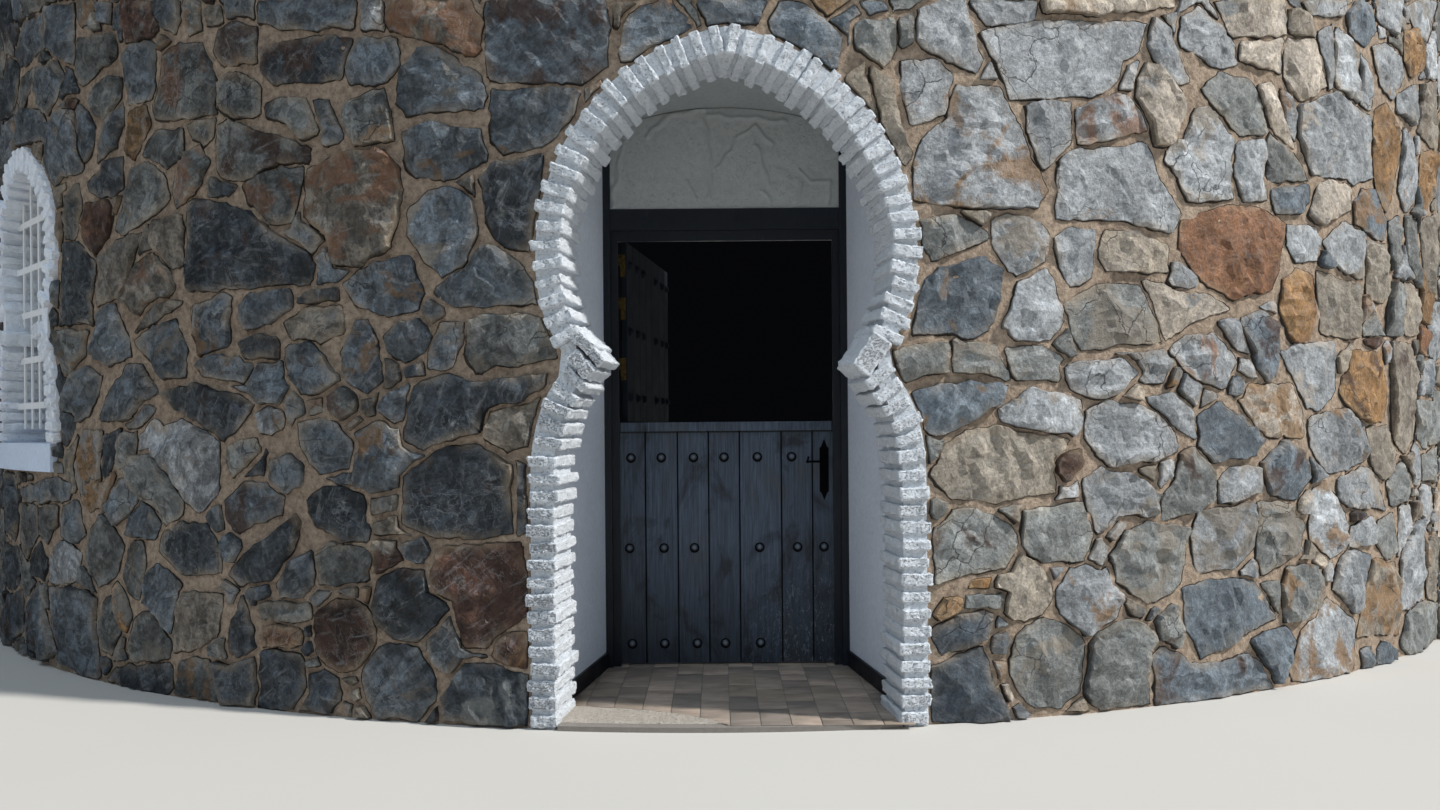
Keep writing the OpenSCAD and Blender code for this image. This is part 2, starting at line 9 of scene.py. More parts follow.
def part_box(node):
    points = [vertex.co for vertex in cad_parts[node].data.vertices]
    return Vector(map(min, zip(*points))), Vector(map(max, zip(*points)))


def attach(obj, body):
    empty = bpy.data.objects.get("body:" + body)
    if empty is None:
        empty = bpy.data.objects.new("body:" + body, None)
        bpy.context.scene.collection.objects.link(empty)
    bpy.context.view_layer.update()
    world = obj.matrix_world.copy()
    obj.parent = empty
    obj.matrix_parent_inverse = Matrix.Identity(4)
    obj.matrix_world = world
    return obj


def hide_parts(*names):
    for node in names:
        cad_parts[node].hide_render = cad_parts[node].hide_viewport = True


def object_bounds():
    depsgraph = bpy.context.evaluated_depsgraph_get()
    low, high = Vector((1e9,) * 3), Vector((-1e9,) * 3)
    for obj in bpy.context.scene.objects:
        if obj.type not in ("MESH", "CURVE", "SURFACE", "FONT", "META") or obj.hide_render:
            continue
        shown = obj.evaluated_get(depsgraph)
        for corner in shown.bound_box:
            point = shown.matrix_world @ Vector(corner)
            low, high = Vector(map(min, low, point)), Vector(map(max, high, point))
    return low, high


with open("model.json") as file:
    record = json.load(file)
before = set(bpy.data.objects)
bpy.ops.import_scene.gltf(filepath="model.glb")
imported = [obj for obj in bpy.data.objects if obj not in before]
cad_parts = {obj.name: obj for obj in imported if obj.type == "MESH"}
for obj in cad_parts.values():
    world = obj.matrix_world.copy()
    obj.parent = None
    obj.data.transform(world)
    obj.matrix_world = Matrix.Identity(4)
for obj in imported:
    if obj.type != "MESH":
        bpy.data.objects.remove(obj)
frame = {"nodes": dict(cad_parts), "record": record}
cadLow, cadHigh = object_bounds()
cadNodes = frame["nodes"]
print("stage: frame loaded,", len(cadNodes), "nodes")

scene = bpy.context.scene
scene.view_settings.view_transform = "Standard"

# What every piece needs to know about the tower, in metres
tower = {
    "radius": 5.45,       # to the faces of the stones
    "axisY": 4.39,        # the tower's axis, behind the leaves
    "sweep": 57.0,        # degrees from the doorway to each end
    "relief": 0.025,      # stone faces in front of the wall body
    "brickProud": 0.012,  # brick faces in front of the stone faces
    "ringDepth": 0.285,
    "windowTurn": -43.2,
    "innerFace": 4.09,
}
bodyRadius = tower["radius"] - tower["relief"]
wallTop = cadHigh.z


# The photograph's view: level, turned a little about its own line of sight
shot = {"wide": 1440, "high": 810, "lens": 26.25, "sensor": 36.0, "x": -0.03, "y": -5.13, "z": 1.19,
        "horizon": 425.0, "roll": 0.48}
focal = shot["lens"] / shot["sensor"] * shot["wide"]


def placeCamera():
    bpy.ops.object.camera_add(location=(shot["x"], shot["y"], shot["z"]),
                              rotation=(math.radians(90), math.radians(shot["roll"]), 0))
    camera = bpy.context.object
    camera.data.lens = shot["lens"]
    camera.data.sensor_width = shot["sensor"]
    camera.data.shift_y = (shot["horizon"] - shot["high"] / 2) / shot["wide"]
    camera.data.clip_start, camera.data.clip_end = 0.05, 200
    scene.camera = camera


def pixelToWall(px, py):  # where a pixel of the photograph meets the stone faces: arc length and height
    turn = math.radians(shot["roll"])
    across, up = (px - shot["wide"] / 2) / focal, (shot["horizon"] - py) / focal
    dx = across * math.cos(turn) + up * math.sin(turn)
    dz = up * math.cos(turn) - across * math.sin(turn)
    fromY = shot["y"] - tower["axisY"]
    a, b = dx * dx + 1, shot["x"] * dx + fromY
    c = shot["x"] ** 2 + fromY ** 2 - tower["radius"] ** 2
    t = (-b - math.sqrt(max(b * b - a * c, 0))) / a
    angle = math.atan2(shot["x"] + t * dx, -(fromY + t))
    return angle * tower["radius"], shot["z"] + t * dz


def lightTheScene():
    look = {
        "key": {"energy": 3.9, "colour": (1.0, 0.97, 0.92), "soft": 3.0, "from": (75, 44)},
        "fill": {"energy": 0.62, "colour": (0.74, 0.87, 1.0), "soft": 24.0, "from": (-8, 58)},
        "away": 12,
        "sky": (0.76, 0.88, 1.0, 1), "skyStrength": (-0.2, 0.6, 0.40, 0.14),  # lights more from in front
        # painted shade: the camera sees near black past everything, so the doorway opens on darkness like an unlit
        # room
        "seen": (0.0018, 0.0020, 0.0026, 1),  # what the camera sees past everything
    }
    for name in ("key", "fill"):
        lamp = look[name]
        across, up = (math.radians(v) for v in lamp["from"])
        toLamp = Vector((math.sin(across) * math.cos(up), -math.cos(across) * math.cos(up), math.sin(up)))
        bpy.ops.object.light_add(type="SUN", location=toLamp * look["away"])
        sun = bpy.context.object
        sun.name = name
        sun.rotation_euler = (-toLamp).to_track_quat("-Z", "Y").to_euler()
        sun.data.energy = lamp["energy"]
        sun.data.color = lamp["colour"]
        sun.data.angle = math.radians(lamp["soft"])
    world = bpy.data.worlds.new("studio")
    scene.world = world
    world.use_nodes = True
    tree = world.node_tree
    tree.nodes.clear()
    facing = axisOf(tree, tree.nodes.new("ShaderNodeTexCoord").outputs["Generated"], "Y")
    strength = spread(tree, facing, *look["skyStrength"])
    soft = addNode(tree, "Background", {"Color": look["sky"], "Strength": strength})
    seen = addNode(tree, "Background", {"Color": look["seen"], "Strength": 1.0})
    ray = tree.nodes.new("ShaderNodeLightPath").outputs
    direct = calc(tree, "MAXIMUM", ray["Is Camera Ray"], ray["Is Transmission Ray"])
    direct = calc(tree, "MAXIMUM", direct, ray["Is Glossy Ray"])
    mix = addNode(tree, "MixShader", {0: direct, 1: soft.outputs[0], 2: seen.outputs[0]})
    addNode(tree, "OutputWorld", {"Surface": mix.outputs[0]})


def layFloor():
    look = {"wide": 80, "patches": 0.6, "tones": (srgb(196, 193, 188), srgb(202, 199, 194))}
    bpy.ops.mesh.primitive_plane_add(size=look["wide"], location=(0, 0, 0))
    ground = bpy.context.object
    ground.name = "studio_floor"
    mat, tree, shader, coords = startMaterial("studio floor", 0.9)
    paint(tree, shader, mixColour(tree, noiseOf(tree, coords, look["patches"], 2), *look["tones"]))
    ground.data.materials.append(mat)


# Small helpers for node trees
def srgb(r, g, b):
    def linear(v):
        v = v / 255
        return v / 12.92 if v <= 0.04045 else ((v + 0.055) / 1.055) ** 2.4
    return (linear(r), linear(g), linear(b), 1.0)


def plug(tree, socket, value):
    if isinstance(value, bpy.types.NodeSocket):
        tree.links.new(value, socket)
    else:
        socket.default_value = value


def addNode(tree, kind, inputs=None, **settings):
    made = tree.nodes.new("ShaderNode" + kind)
    for key, value in settings.items():
        setattr(made, key, value)
    for key, value in (inputs or {}).items():
        plug(tree, made.inputs[key], value)
    return made


def calc(tree, operation, a, b=0.0):
    return addNode(tree, "Math", {0: a, 1: b}, operation=operation).outputs[0]


def product(tree, first, *others):
    for other in others:
        first = calc(tree, "MULTIPLY", first, other)
    return first


def vectorCalc(tree, operation, a, b):
    return addNode(tree, "VectorMath", {0: a, 1: b}, operation=operation).outputs[0]


def axisOf(tree, coords, axis):
    return addNode(tree, "SeparateXYZ", {0: coords}).outputs[axis]


def noiseOf(tree, coords, scale, detail=4, rough=0.55, twist=0.0):
    return addNode(tree, "TexNoise", {"Vector": coords, "Scale": scale, "Detail": detail,
                                      "Roughness": rough, "Distortion": twist}).outputs["Fac"]


def stretched(tree, coords, scale):
    return addNode(tree, "Mapping", {"Vector": coords, "Scale": scale}).outputs[0]


def noisesOf(tree, coords, table):  # by name: the stretch of each noise, its scale, detail, roughness and twist
    return {name: noiseOf(tree, stretched(tree, coords, stretch) if stretch else coords, *rest)
            for name, (stretch, *rest) in table.items()}


def spread(tree, value, low, high, start=0.0, end=1.0):  # maps low..high to start..end, and clamps
    return addNode(tree, "MapRange", {"Value": value, "From Min": low, "From Max": high,
                                      "To Min": start, "To Max": end}).outputs[0]


def mixColour(tree, share, a, b, blend="MIX"):
    made = addNode(tree, "Mix", {0: share, 6: a, 7: b}, data_type="RGBA", blend_type=blend)
    return made.outputs[2]


def shaded(tree, colour, value, low, high):  # darkens and lightens a colour by a value from 0 to 1
    grey = spread(tree, value, 0, 1, low, high)
    grey = addNode(tree, "CombineColor", {0: grey, 1: grey, 2: grey}).outputs[0]
    return mixColour(tree, 1.0, colour, grey, "MULTIPLY")


def shadedBy(tree, colour, values, table):  # shade after shade: the value's name, its range, darkest and lightest
    for name, low, high, dark, light in table:
        colour = shaded(tree, colour, spread(tree, values[name], low, high), dark, light)
    return colour


def attribute(tree, name):
    return addNode(tree, "Attribute", attribute_name=name).outputs


def bumped(tree, shader, heights, distance):  # heights are pairs of a socket and its share
    total = None
    for socket, share in heights:
        part = product(tree, socket, share)
        total = part if total is None else calc(tree, "ADD", total, part)
    made = addNode(tree, "Bump", {"Height": total, "Distance": distance, "Strength": 1.0})
    tree.links.new(made.outputs[0], shader.inputs["Normal"])


def startMaterial(name, rough=0.6, metal=0.0, gloss=0.5):
    mat = bpy.data.materials.new(name)
    mat.use_nodes = True
    tree = mat.node_tree
    shader = tree.nodes["Principled BSDF"]
    shader.inputs["Roughness"].default_value = rough
    shader.inputs["Metallic"].default_value = metal
    shader.inputs["Specular IOR Level"].default_value = gloss
    coords = tree.nodes.new("ShaderNodeTexCoord").outputs["Object"]
    return mat, tree, shader, coords


def paint(tree, shader, colour, rough=None):
    tree.links.new(colour, shader.inputs["Base Color"])
    if rough is not None:
        tree.links.new(rough, shader.inputs["Roughness"])


# Small helpers for meshes
def deselectAll():
    if bpy.context.object and bpy.context.object.mode != "OBJECT":
        bpy.ops.object.mode_set(mode="OBJECT")
    bpy.ops.object.select_all(action="DESELECT")


def selectOnly(piece):
    deselectAll()
    piece.select_set(True)
    bpy.context.view_layer.objects.active = piece


def joined(parts, name):
    deselectAll()
    for part in parts:
        part.select_set(True)
    bpy.context.view_layer.objects.active = parts[0]
    if len(parts) > 1:
        bpy.ops.object.join()
    piece = bpy.context.object
    piece.name = name
    piece.data.name = name
    return piece


def meshPiece(name, points, faces):
    mesh = bpy.data.meshes.new(name)
    mesh.from_pydata([tuple(p) for p in points], [], [tuple(f) for f in faces])
    mesh.update()
    piece = bpy.data.objects.new(name, mesh)
    scene.collection.objects.link(piece)
    return piece


def finishPiece(piece, material, body, smooth=25, instead=()):
    piece.data.materials.clear()
    piece.data.materials.append(material)
    selectOnly(piece)
    bpy.ops.object.shade_smooth_by_angle(angle=math.radians(smooth))
    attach(piece, body)
    if instead:
        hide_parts(*instead)
    return piece


def applyModifiers(piece):
    selectOnly(piece)
    for modifier in list(piece.modifiers):
        bpy.ops.object.modifier_apply(modifier=modifier.name)


# Rubble stones: tones as base and patch colours, by letter
stoneTones = {
    "b": (105, 115, 124), "d": (63, 71, 79), "n": (122, 125, 124), "l": (150, 154, 158),
    "w": (180, 169, 156), "t": (137, 129, 118), "r": (130, 92, 66), "m": (72, 50, 41),
    "o": (138, 106, 70), "p": (152, 142, 129),
}


def crestOf(tree, value, wide):  # 1 on the line where a value passes its middle
    away = calc(tree, "ABSOLUTE", calc(tree, "SUBTRACT", value, 0.5))
    return spread(tree, away, 0.0, wide, 1.0, 0.0)


def stoneMaterial():  # every stone has its own tones, its own turn of the grain and worn, mortar-stained rims; its facets carry painted light and shade, its crests painted highlights, its sides painted shade and the crevice round its foot a painted shadow
    look = {
        "seedShift": 41.0, "grainTurn": 3.1,
        "noises": {"broad": (None, 4.0, 3), "cleft": (None, 24.0, 10, 0.66, 0.3), "grain": (None, 190.0, 3, 0.7),
                   "streaks": ((42, 42, 8), 1.0, 7, 0.62, 0.5), "layers": (None, 4.2, 5, 0.5, 0.5),
                   "flanks": ((1, 1, 1.5), 5.0, 4, 0.55, 0.9), "chips": ((1, 1, 1.8), 14.0, 6, 0.6, 0.7),
                   "mottle": (None, 75.0, 8, 0.72, 0.4), "stain": (None, 5.0, 9, 0.62, 0.5)},
        "plates": 6.5, "plateStretch": (1, 1, 0.6), "bendScale": 9.0, "bendDetail": 5.0, "bend": (0.10, 0.10, 0.10),
        "stepHigh": 0.075, "stepMix": 31.7,  # flat layers, and how their tones differ
        "shades": (("broad", 0.34, 0.66, 0.78, 1.22), ("plate", 0, 1, 0.90, 1.10), ("stepTone", 0, 1, 0.84, 1.16),
                   ("cleft", 0.34, 0.66, 0.76, 1.26)),
        "broken": (-1.4, 0.6, 1.0, 0.25),    # from left to right of the doorway: how much painted light and shade of facets and chips, and painted crest highlights, show
        "paintedFacetShades": (("flanks", 0.485, 0.515, 0.74, 1.28), ("chips", 0.47, 0.53, 0.76, 1.22)),
        "crestHighlights": (("flanks", 0.012), ("chips", 0.020)), "crestHighlightsWhere": (0.44, 0.64, 0.0, 0.28),
        "mottleShade": (("mottle", 0.36, 0.64, 0.70, 1.34),),
        "stainEdge": (0.48, 0.55), "stainShare": 0.80, "stainShade": (("cleft", 0.34, 0.66, 0.75, 1.2),),
        "pale": srgb(184, 187, 191), "paleWhere": (0.54, 0.70), "paleShare": 0.26, "paleSpread": (0.55, 1.0),
        "dark": srgb(34, 34, 36), "darkWhere": (0.42, 0.30), "darkShare": 0.30,
        "seamWide": (0.0, 0.013, 1.0, 0.0), "seamWhere": (0.48, 0.56), "crackShare": 0.7,
        "crackedMix": 7.3, "cracked": (0.62, 0.64),  # which stones have cracks
        "smear": srgb(168, 150, 126), "smearWhere": (0.44, 0.60), "smearShare": 0.45,
        # painted shade: a stone's sides, where rim is low, are painted darker, most on the side away from the light
        "lastShades": (("grain", 0.3, 0.7, 0.84, 1.16), ("rim", 0.0, 0.06, 0.5, 1.0)),
        "creviceShadow": srgb(46, 39, 33), "creviceWhere": (-0.9, -0.1, 1.0, 0.0), "rough": (0.3, 0.7, 0.78, 0.48),
        "bumps": (("flanks", 0.8), ("chips", 0.5), ("cleft", 0.5), ("mottle", 0.22), ("step", 3.4), ("plate", 0.3),
                  ("crack", -0.4), ("streaks", 0.2), ("grain", 0.05)), "bumpHigh": 0.015,
    }
    mat, tree, shader, coords = startMaterial("cleft slate", 0.62, 0.0, 0.35)
    tone, patch, rim = attribute(tree, "tone"), attribute(tree, "patch"), attribute(tree, "rim")["Fac"]
    seed = tone["Alpha"]
    moved = vectorCalc(tree, "ADD", coords, product(tree, seed, look["seedShift"]))
    moved = addNode(tree, "VectorRotate", {"Vector": moved, "Angle": product(tree, seed, look["grainTurn"])},
                    rotation_type="Y_AXIS").outputs[0]
    value = noisesOf(tree, moved, look["noises"])
    bend = addNode(tree, "TexNoise", {"Vector": moved, "Scale": look["bendScale"], "Detail": look["bendDetail"]})
    bend = vectorCalc(tree, "MULTIPLY", bend.outputs["Color"], look["bend"])
    bent = vectorCalc(tree, "ADD", stretched(tree, moved, look["plateStretch"]), bend)
    plates, seams = (addNode(tree, "TexVoronoi", {"Vector": bent, "Scale": look["plates"]}, feature=kind).outputs
                     for kind in ("F1", "DISTANCE_TO_EDGE"))
    cracked = calc(tree, "FRACT", product(tree, seed, look["crackedMix"]))
    value["rim"] = rim
    value["plate"] = addNode(tree, "SeparateColor", {0: plates["Color"]}).outputs[0]
    value["step"] = calc(tree, "SNAP", value["layers"], look["stepHigh"])
    value["stepTone"] = calc(tree, "FRACT", product(tree, value["step"], look["stepMix"]))
    value["crack"] = product(tree, spread(tree, seams["Distance"], *look["seamWide"]),
                             spread(tree, value["broad"], *look["seamWhere"]),
                             spread(tree, cracked, *look["cracked"]))
    colour = shadedBy(tree, tone["Color"], value, look["shades"])
    broken = spread(tree, axisOf(tree, coords, "X"), *look["broken"])
    # painted light and shade: each facet and chip line is lighter on one side and darker on the other, most
    # strongly left of the doorway
    colour = mixColour(tree, broken, colour, shadedBy(tree, colour, value, look["paintedFacetShades"]))
    colour = shadedBy(tree, colour, value, look["mottleShade"])
    # painted highlights: pale lines along the crests of facets and chips
    crestHighlights = calc(tree, "MAXIMUM", *(crestOf(tree, value[name], wide) for name, wide in look["crestHighlights"]))
    stain = calc(tree, "ADD", value["stain"], calc(tree, "SUBTRACT", patch["Alpha"], 0.5))
    smear = product(tree, spread(tree, rim, 0.0, 1.0, 1.0, 0.0), spread(tree, value["broad"], *look["smearWhere"]))
    for share, tint in (
            (product(tree, spread(tree, stain, *look["stainEdge"]), look["stainShare"]),
             shadedBy(tree, patch["Color"], value, look["stainShade"])),
            (product(tree, spread(tree, value["streaks"], *look["paleWhere"]), look["paleShare"]),
             shaded(tree, look["pale"], seed, *look["paleSpread"])),
            (product(tree, crestHighlights, broken, spread(tree, value["broad"], *look["crestHighlightsWhere"])), look["pale"]),
            (product(tree, spread(tree, value["cleft"], *look["darkWhere"]), look["darkShare"]), look["dark"]),
            (product(tree, value["crack"], look["crackShare"]), look["dark"]),
            (product(tree, smear, look["smearShare"]), look["smear"])):
        colour = mixColour(tree, share, colour, tint)
    colour = shadedBy(tree, colour, value, look["lastShades"])
    # painted shadow: the crevice ring round each stone's foot is painted near black
    colour = mixColour(tree, spread(tree, rim, *look["creviceWhere"]), colour, look["creviceShadow"])
    paint(tree, shader, colour, spread(tree, value["cleft"], *look["rough"]))
    bumped(tree, shader, [(value[name], share) for name, share in look["bumps"]], look["bumpHigh"])
    return mat


def mortarNodes(tree, coords):
    look = {"low": srgb(158, 139, 122), "high": srgb(194, 174, 154), "speck": srgb(96, 82, 66),
            "noises": {"broad": (None, 3.0, 3), "lumps": (None, 38.0, 6, 0.65), "sand": (None, 260.0, 2, 0.8),
                       "specks": (None, 120.0, 2)},
            # painted shade: the mortar is painted darker to the left of the doorway, where the wall is in shade
            "shades": (("across", -1.4, 0.6, 0.76, 1.0), ("lumps", 0.34, 0.66, 0.60, 1.22)),
            "specksWhere": (0.62, 0.70), "specksShare": 0.5, "sandShade": (("sand", 0, 1, 0.8, 1.2),)}
    value = noisesOf(tree, coords, look["noises"])
    value["across"] = axisOf(tree, coords, "X")
    colour = mixColour(tree, value["broad"], look["low"], look["high"])
    colour = shadedBy(tree, colour, value, look["shades"])
    specks = product(tree, spread(tree, value["specks"], *look["specksWhere"]), look["specksShare"])
    colour = mixColour(tree, specks, colour, look["speck"])
    return shadedBy(tree, colour, value, look["sandShade"]), value["lumps"], value["sand"]


def mortarMaterial():
    mat, tree, shader, coords = startMaterial("sand mortar", 0.92, 0.0, 0.2)
    colour, lumps, sand = mortarNodes(tree, coords)
    paint(tree, shader, colour)
    bumped(tree, shader, [(lumps, 1.0), (sand, 0.22)], 0.016)
    return mat


def wallBodyMaterial():  # mortar outside, plaster inside and in the openings, rubble where the wall is cut
    look = {"skin": 0.012, "cutBeyond": 0.80, "cutAbove": 3.84, "cells": 5.2, "gap": (0.05, 0.08),
            "stones": (srgb(108, 116, 124), srgb(138, 122, 100)), "tanShare": (0.72, 0.80),
            "plaster": srgb(214, 213, 208), "plasterNoise": (2.2, 5), "plasterShade": (0.9, 1.06)}
    mat, tree, shader, coords = startMaterial("wall body", 0.9, 0.0, 0.2)
    colour, lumps, sand = mortarNodes(tree, coords)
    flat = vectorCalc(tree, "MULTIPLY", vectorCalc(tree, "ADD", coords, (0, -tower["axisY"], 0)), (1, 1, 0))
    radius = addNode(tree, "VectorMath", {0: flat}, operation="LENGTH").outputs["Value"]
    sideways = calc(tree, "DIVIDE", calc(tree, "ABSOLUTE", axisOf(tree, coords, "X")), radius)
    cut = calc(tree, "MAXIMUM", calc(tree, "GREATER_THAN", sideways, look["cutBeyond"]),
               calc(tree, "GREATER_THAN", axisOf(tree, coords, "Z"), look["cutAbove"]))
    within = calc(tree, "LESS_THAN", radius, bodyRadius - look["skin"])
    cut = product(tree, cut, within, calc(tree, "GREATER_THAN", radius, tower["innerFace"] + 0.01))
    cells, gaps = (addNode(tree, "TexVoronoi", {"Vector": coords, "Scale": look["cells"], "Randomness": 0.9},
                           feature=kind).outputs for kind in ("F1", "DISTANCE_TO_EDGE"))
    cell = addNode(tree, "SeparateColor", {0: cells["Color"]}).outputs
    core = mixColour(tree, spread(tree, cell[1], *look["tanShare"]), *look["stones"])
    core = shaded(tree, shaded(tree, core, cell[0], 0.62, 1.3), lumps, 0.6, 1.3)
    stony = product(tree, cut, spread(tree, gaps["Distance"], *look["gap"]))
    colour = mixColour(tree, stony, colour, core)
    inside = calc(tree, "SUBTRACT", within, cut)
    plain = shaded(tree, look["plaster"], noiseOf(tree, coords, *look["plasterNoise"]), *look["plasterShade"])
    paint(tree, shader, mixColour(tree, inside, colour, plain))
    rough = product(tree, lumps, spread(tree, inside, 0, 1, 1.0, 0.25))
    bumped(tree, shader, [(rough, 0.8), (sand, 0.1), (stony, 0.9)], 0.010)
    return mat


def whitePaintMaterial(name, white, grime, pits, high):  # lime paint over brick, render or iron
    look = {"noises": {"broad": (None, 4.0, 4), "lumps": (None, 45.0, 7, 0.65),
                       "brushed": (None, 150.0, 4, 0.7, 0.8), "holes": ((120, 120, 170), 1.0, 4, 0.7)},
            "shades": (("broad", 0, 1, 0.93, 1.04), ("lumps", 0.3, 0.7, 0.90, 1.05)),
            "bareShare": 0.10, "deep": (0.58, 0.72)}
    mat, tree, shader, coords = startMaterial(name, 0.75, 0.0, 0.3)
    value = noisesOf(tree, coords, look["noises"])
    colour = shadedBy(tree, srgb(*white), value, look["shades"])
    bare = calc(tree, "ADD", product(tree, attribute(tree, "bare")["Fac"], look["bareShare"]), value["holes"])
    deep = spread(tree, bare, *look["deep"])
    paint(tree, shader, mixColour(tree, product(tree, deep, pits), colour, srgb(*grime)))
    bumped(tree, shader, [(value["lumps"], 0.7), (value["brushed"], 0.22), (deep, -0.4)], high)
    return mat


def darkPaintMaterial(name, tint, worn, along, rough=0.5, gloss=0.4):  # brushed, with the grain up the boards
    look = {"noises": {"grain": (along, 1.0, 8, 0.6, 0.3), "marks": (None, 6.0, 6, 0.62, 0.6),
                       "scuffs": ((60, 60, 14), 1.0, 5, 0.7, 1.0)},
            "shades": (("grain", 0, 1, 0.55, 1.5),), "rubbed": 0.65, "roughSpread": 0.12}
    mat, tree, shader, coords = startMaterial(name, rough, 0.0, gloss)
    value = noisesOf(tree, coords, look["noises"])
    colour = shadedBy(tree, srgb(*tint), value, look["shades"])
    rubbed = product(tree, spread(tree, value["marks"], 0.55, 0.75), spread(tree, value["scuffs"], 0.48, 0.62),
                     look["rubbed"])
    paint(tree, shader, mixColour(tree, rubbed, colour, srgb(*worn)),
          spread(tree, value["marks"], 0.3, 0.7, rough - look["roughSpread"], rough + look["roughSpread"]))
    bumped(tree, shader, [(value["grain"], 1.0)], 0.0015)
    return mat


def boardMaterial():  # the lower leaf: every board its own tone, dark joints, blotches and scuffs low on the right; painted shade darker towards the foot and a painted shadow under the cap rail
    look = {"tint": srgb(72, 84, 100), "blotch": srgb(24, 26, 36), "warm": srgb(82, 80, 78),
            "scuff": srgb(140, 148, 158), "joint": srgb(8, 10, 14), "half": 0.5135,
            "boards": ((134, 0.90), (154, 1.02), (148, 1.08), (148, 0.96), (200, 1.10), (148, 0.94), (112, 0.84)),
            "noises": {"grain": ((95, 95, 4), 1.0, 9, 0.65, 0.3), "fine": ((320, 320, 9), 1.0, 4, 0.7),
                       "broad": ((5.5, 5.5, 3.0), 1.0, 6, 0.62, 0.7), "specks": ((70, 70, 26), 1.0, 6, 0.75, 1.2)},
            "shades": (("grain", 0.32, 0.68, 0.56, 1.42), ("fine", 0.32, 0.68, 0.72, 1.26)),
            "blotches": (0.48, 0.36, 0.0, 0.75), "warmer": (0.54, 0.66, 0.0, 0.40),
            "footShade": (("up", 0.05, 0.62, 0.44, 1.0),), "scuffRight": (0.02, 0.30), "scuffLow": (0.62, 0.28),
            "scuffWhere": (0.54, 0.64), "scuffLeast": 0.04, "scuffMore": 0.55,
            "grooves": (0.0012, 0.018), "railShadowBand": (1.150, 1.157), "railFoot": 1.1612}
    mat, tree, shader, coords = startMaterial("charcoal boards", 0.5, 0.0, 0.4)
    across, back, up = (axisOf(tree, coords, axis) for axis in "XYZ")
    ramp = addNode(tree, "ValToRGB", {"Fac": spread(tree, across, -look["half"], look["half"])})
    ramp.color_ramp.interpolation = "CONSTANT"
    total, done = sum(wide for wide, _ in look["boards"]), 0
    for i, (wide, share) in enumerate(look["boards"]):
        stop = ramp.color_ramp.elements[i] if i < 2 else ramp.color_ramp.elements.new(done / total)
        stop.position = done / total
        stop.color = (share, share, share, 1)
        done += wide
    value = noisesOf(tree, coords, look["noises"]) | {"up": up}
    colour = mixColour(tree, 1.0, look["tint"], ramp.outputs["Color"], "MULTIPLY")
    colour = shadedBy(tree, colour, value, look["shades"])
    for where, tint in (("blotches", "blotch"), ("warmer", "warm")):
        colour = mixColour(tree, spread(tree, value["broad"], *look[where]), colour, look[tint])
    # painted shade: the boards darker towards the foot
    colour = shadedBy(tree, colour, value, look["footShade"])
    low = product(tree, spread(tree, across, *look["scuffRight"]), spread(tree, up, *look["scuffLow"]),
                  look["scuffMore"])
    rubbed = product(tree, spread(tree, value["specks"], *look["scuffWhere"]),
                     calc(tree, "ADD", look["scuffLeast"], low))
    colour = mixColour(tree, rubbed, colour, look["scuff"])
    start, end = look["grooves"]
    behind = product(tree, calc(tree, "GREATER_THAN", back, start), calc(tree, "LESS_THAN", back, end))
    # painted shadow: a dark band just under the cap rail, in the joints' colour
    railShadow = product(tree, spread(tree, up, *look["railShadowBand"]), calc(tree, "LESS_THAN", up, look["railFoot"]))
    colour = mixColour(tree, calc(tree, "MAXIMUM", behind, railShadow), colour, look["joint"])
    paint(tree, shader, colour, spread(tree, value["broad"], 0.3, 0.7, 0.42, 0.62))
    bumped(tree, shader, [(value["grain"], 1.0), (value["fine"], 0.3)], 0.002)
    return mat


def studMaterial():  # rubbed on the crown with a painted highlight a little above the middle, black round the foot and on the washer as painted shade
    mat, tree, shader, coords = startMaterial("rubbed studs with painted highlight", 0.42, 0.0, 0.3)
    worn = attribute(tree, "rubAndHighlight")["Fac"]
    colour = mixColour(tree, worn, srgb(3, 4, 6), srgb(116, 125, 138))
    paint(tree, shader, shaded(tree, colour, noiseOf(tree, coords, 160.0, 4), 0.8, 1.2),
          spread(tree, worn, 0.0, 0.5, 0.9, 0.42))
    return mat


def metalMaterial(name, tint, dull, rough, metal, gloss=0.5):
    mat, tree, shader, coords = startMaterial(name, rough, metal, gloss)
    spots = spread(tree, noiseOf(tree, coords, 60.0, 5, 0.65), 0.4, 0.65)
    paint(tree, shader, mixColour(tree, spots, srgb(*tint), srgb(*dull)))
    bumped(tree, shader, [(noiseOf(tree, coords, 220.0, 3), 1.0)], 0.0006)
    return mat


def tileMaterial():
    mat, tree, shader, coords = startMaterial("stone look tiles", 0.6, 0.0, 0.4)
    veins = noiseOf(tree, stretched(tree, coords, (5, 14, 5)), 1.0, 7, 0.6, 0.8)
    tone = attribute(tree, "tone")["Color"]
    paint(tree, shader, shadedBy(tree, tone, {"veins": veins}, (("veins", 0.32, 0.68, 0.68, 1.24),)))
    bumped(tree, shader, [(veins, 1.0)], 0.002)
    return mat


def glassMaterial():
    mat, tree, shader, coords = startMaterial("window glass", 0.03)
    shader.inputs["Transmission Weight"].default_value = 0.9
    dust = noiseOf(tree, coords, 7.0, 5)
    paint(tree, shader, mixColour(tree, dust, srgb(206, 220, 226), srgb(226, 236, 240)))
    return mat


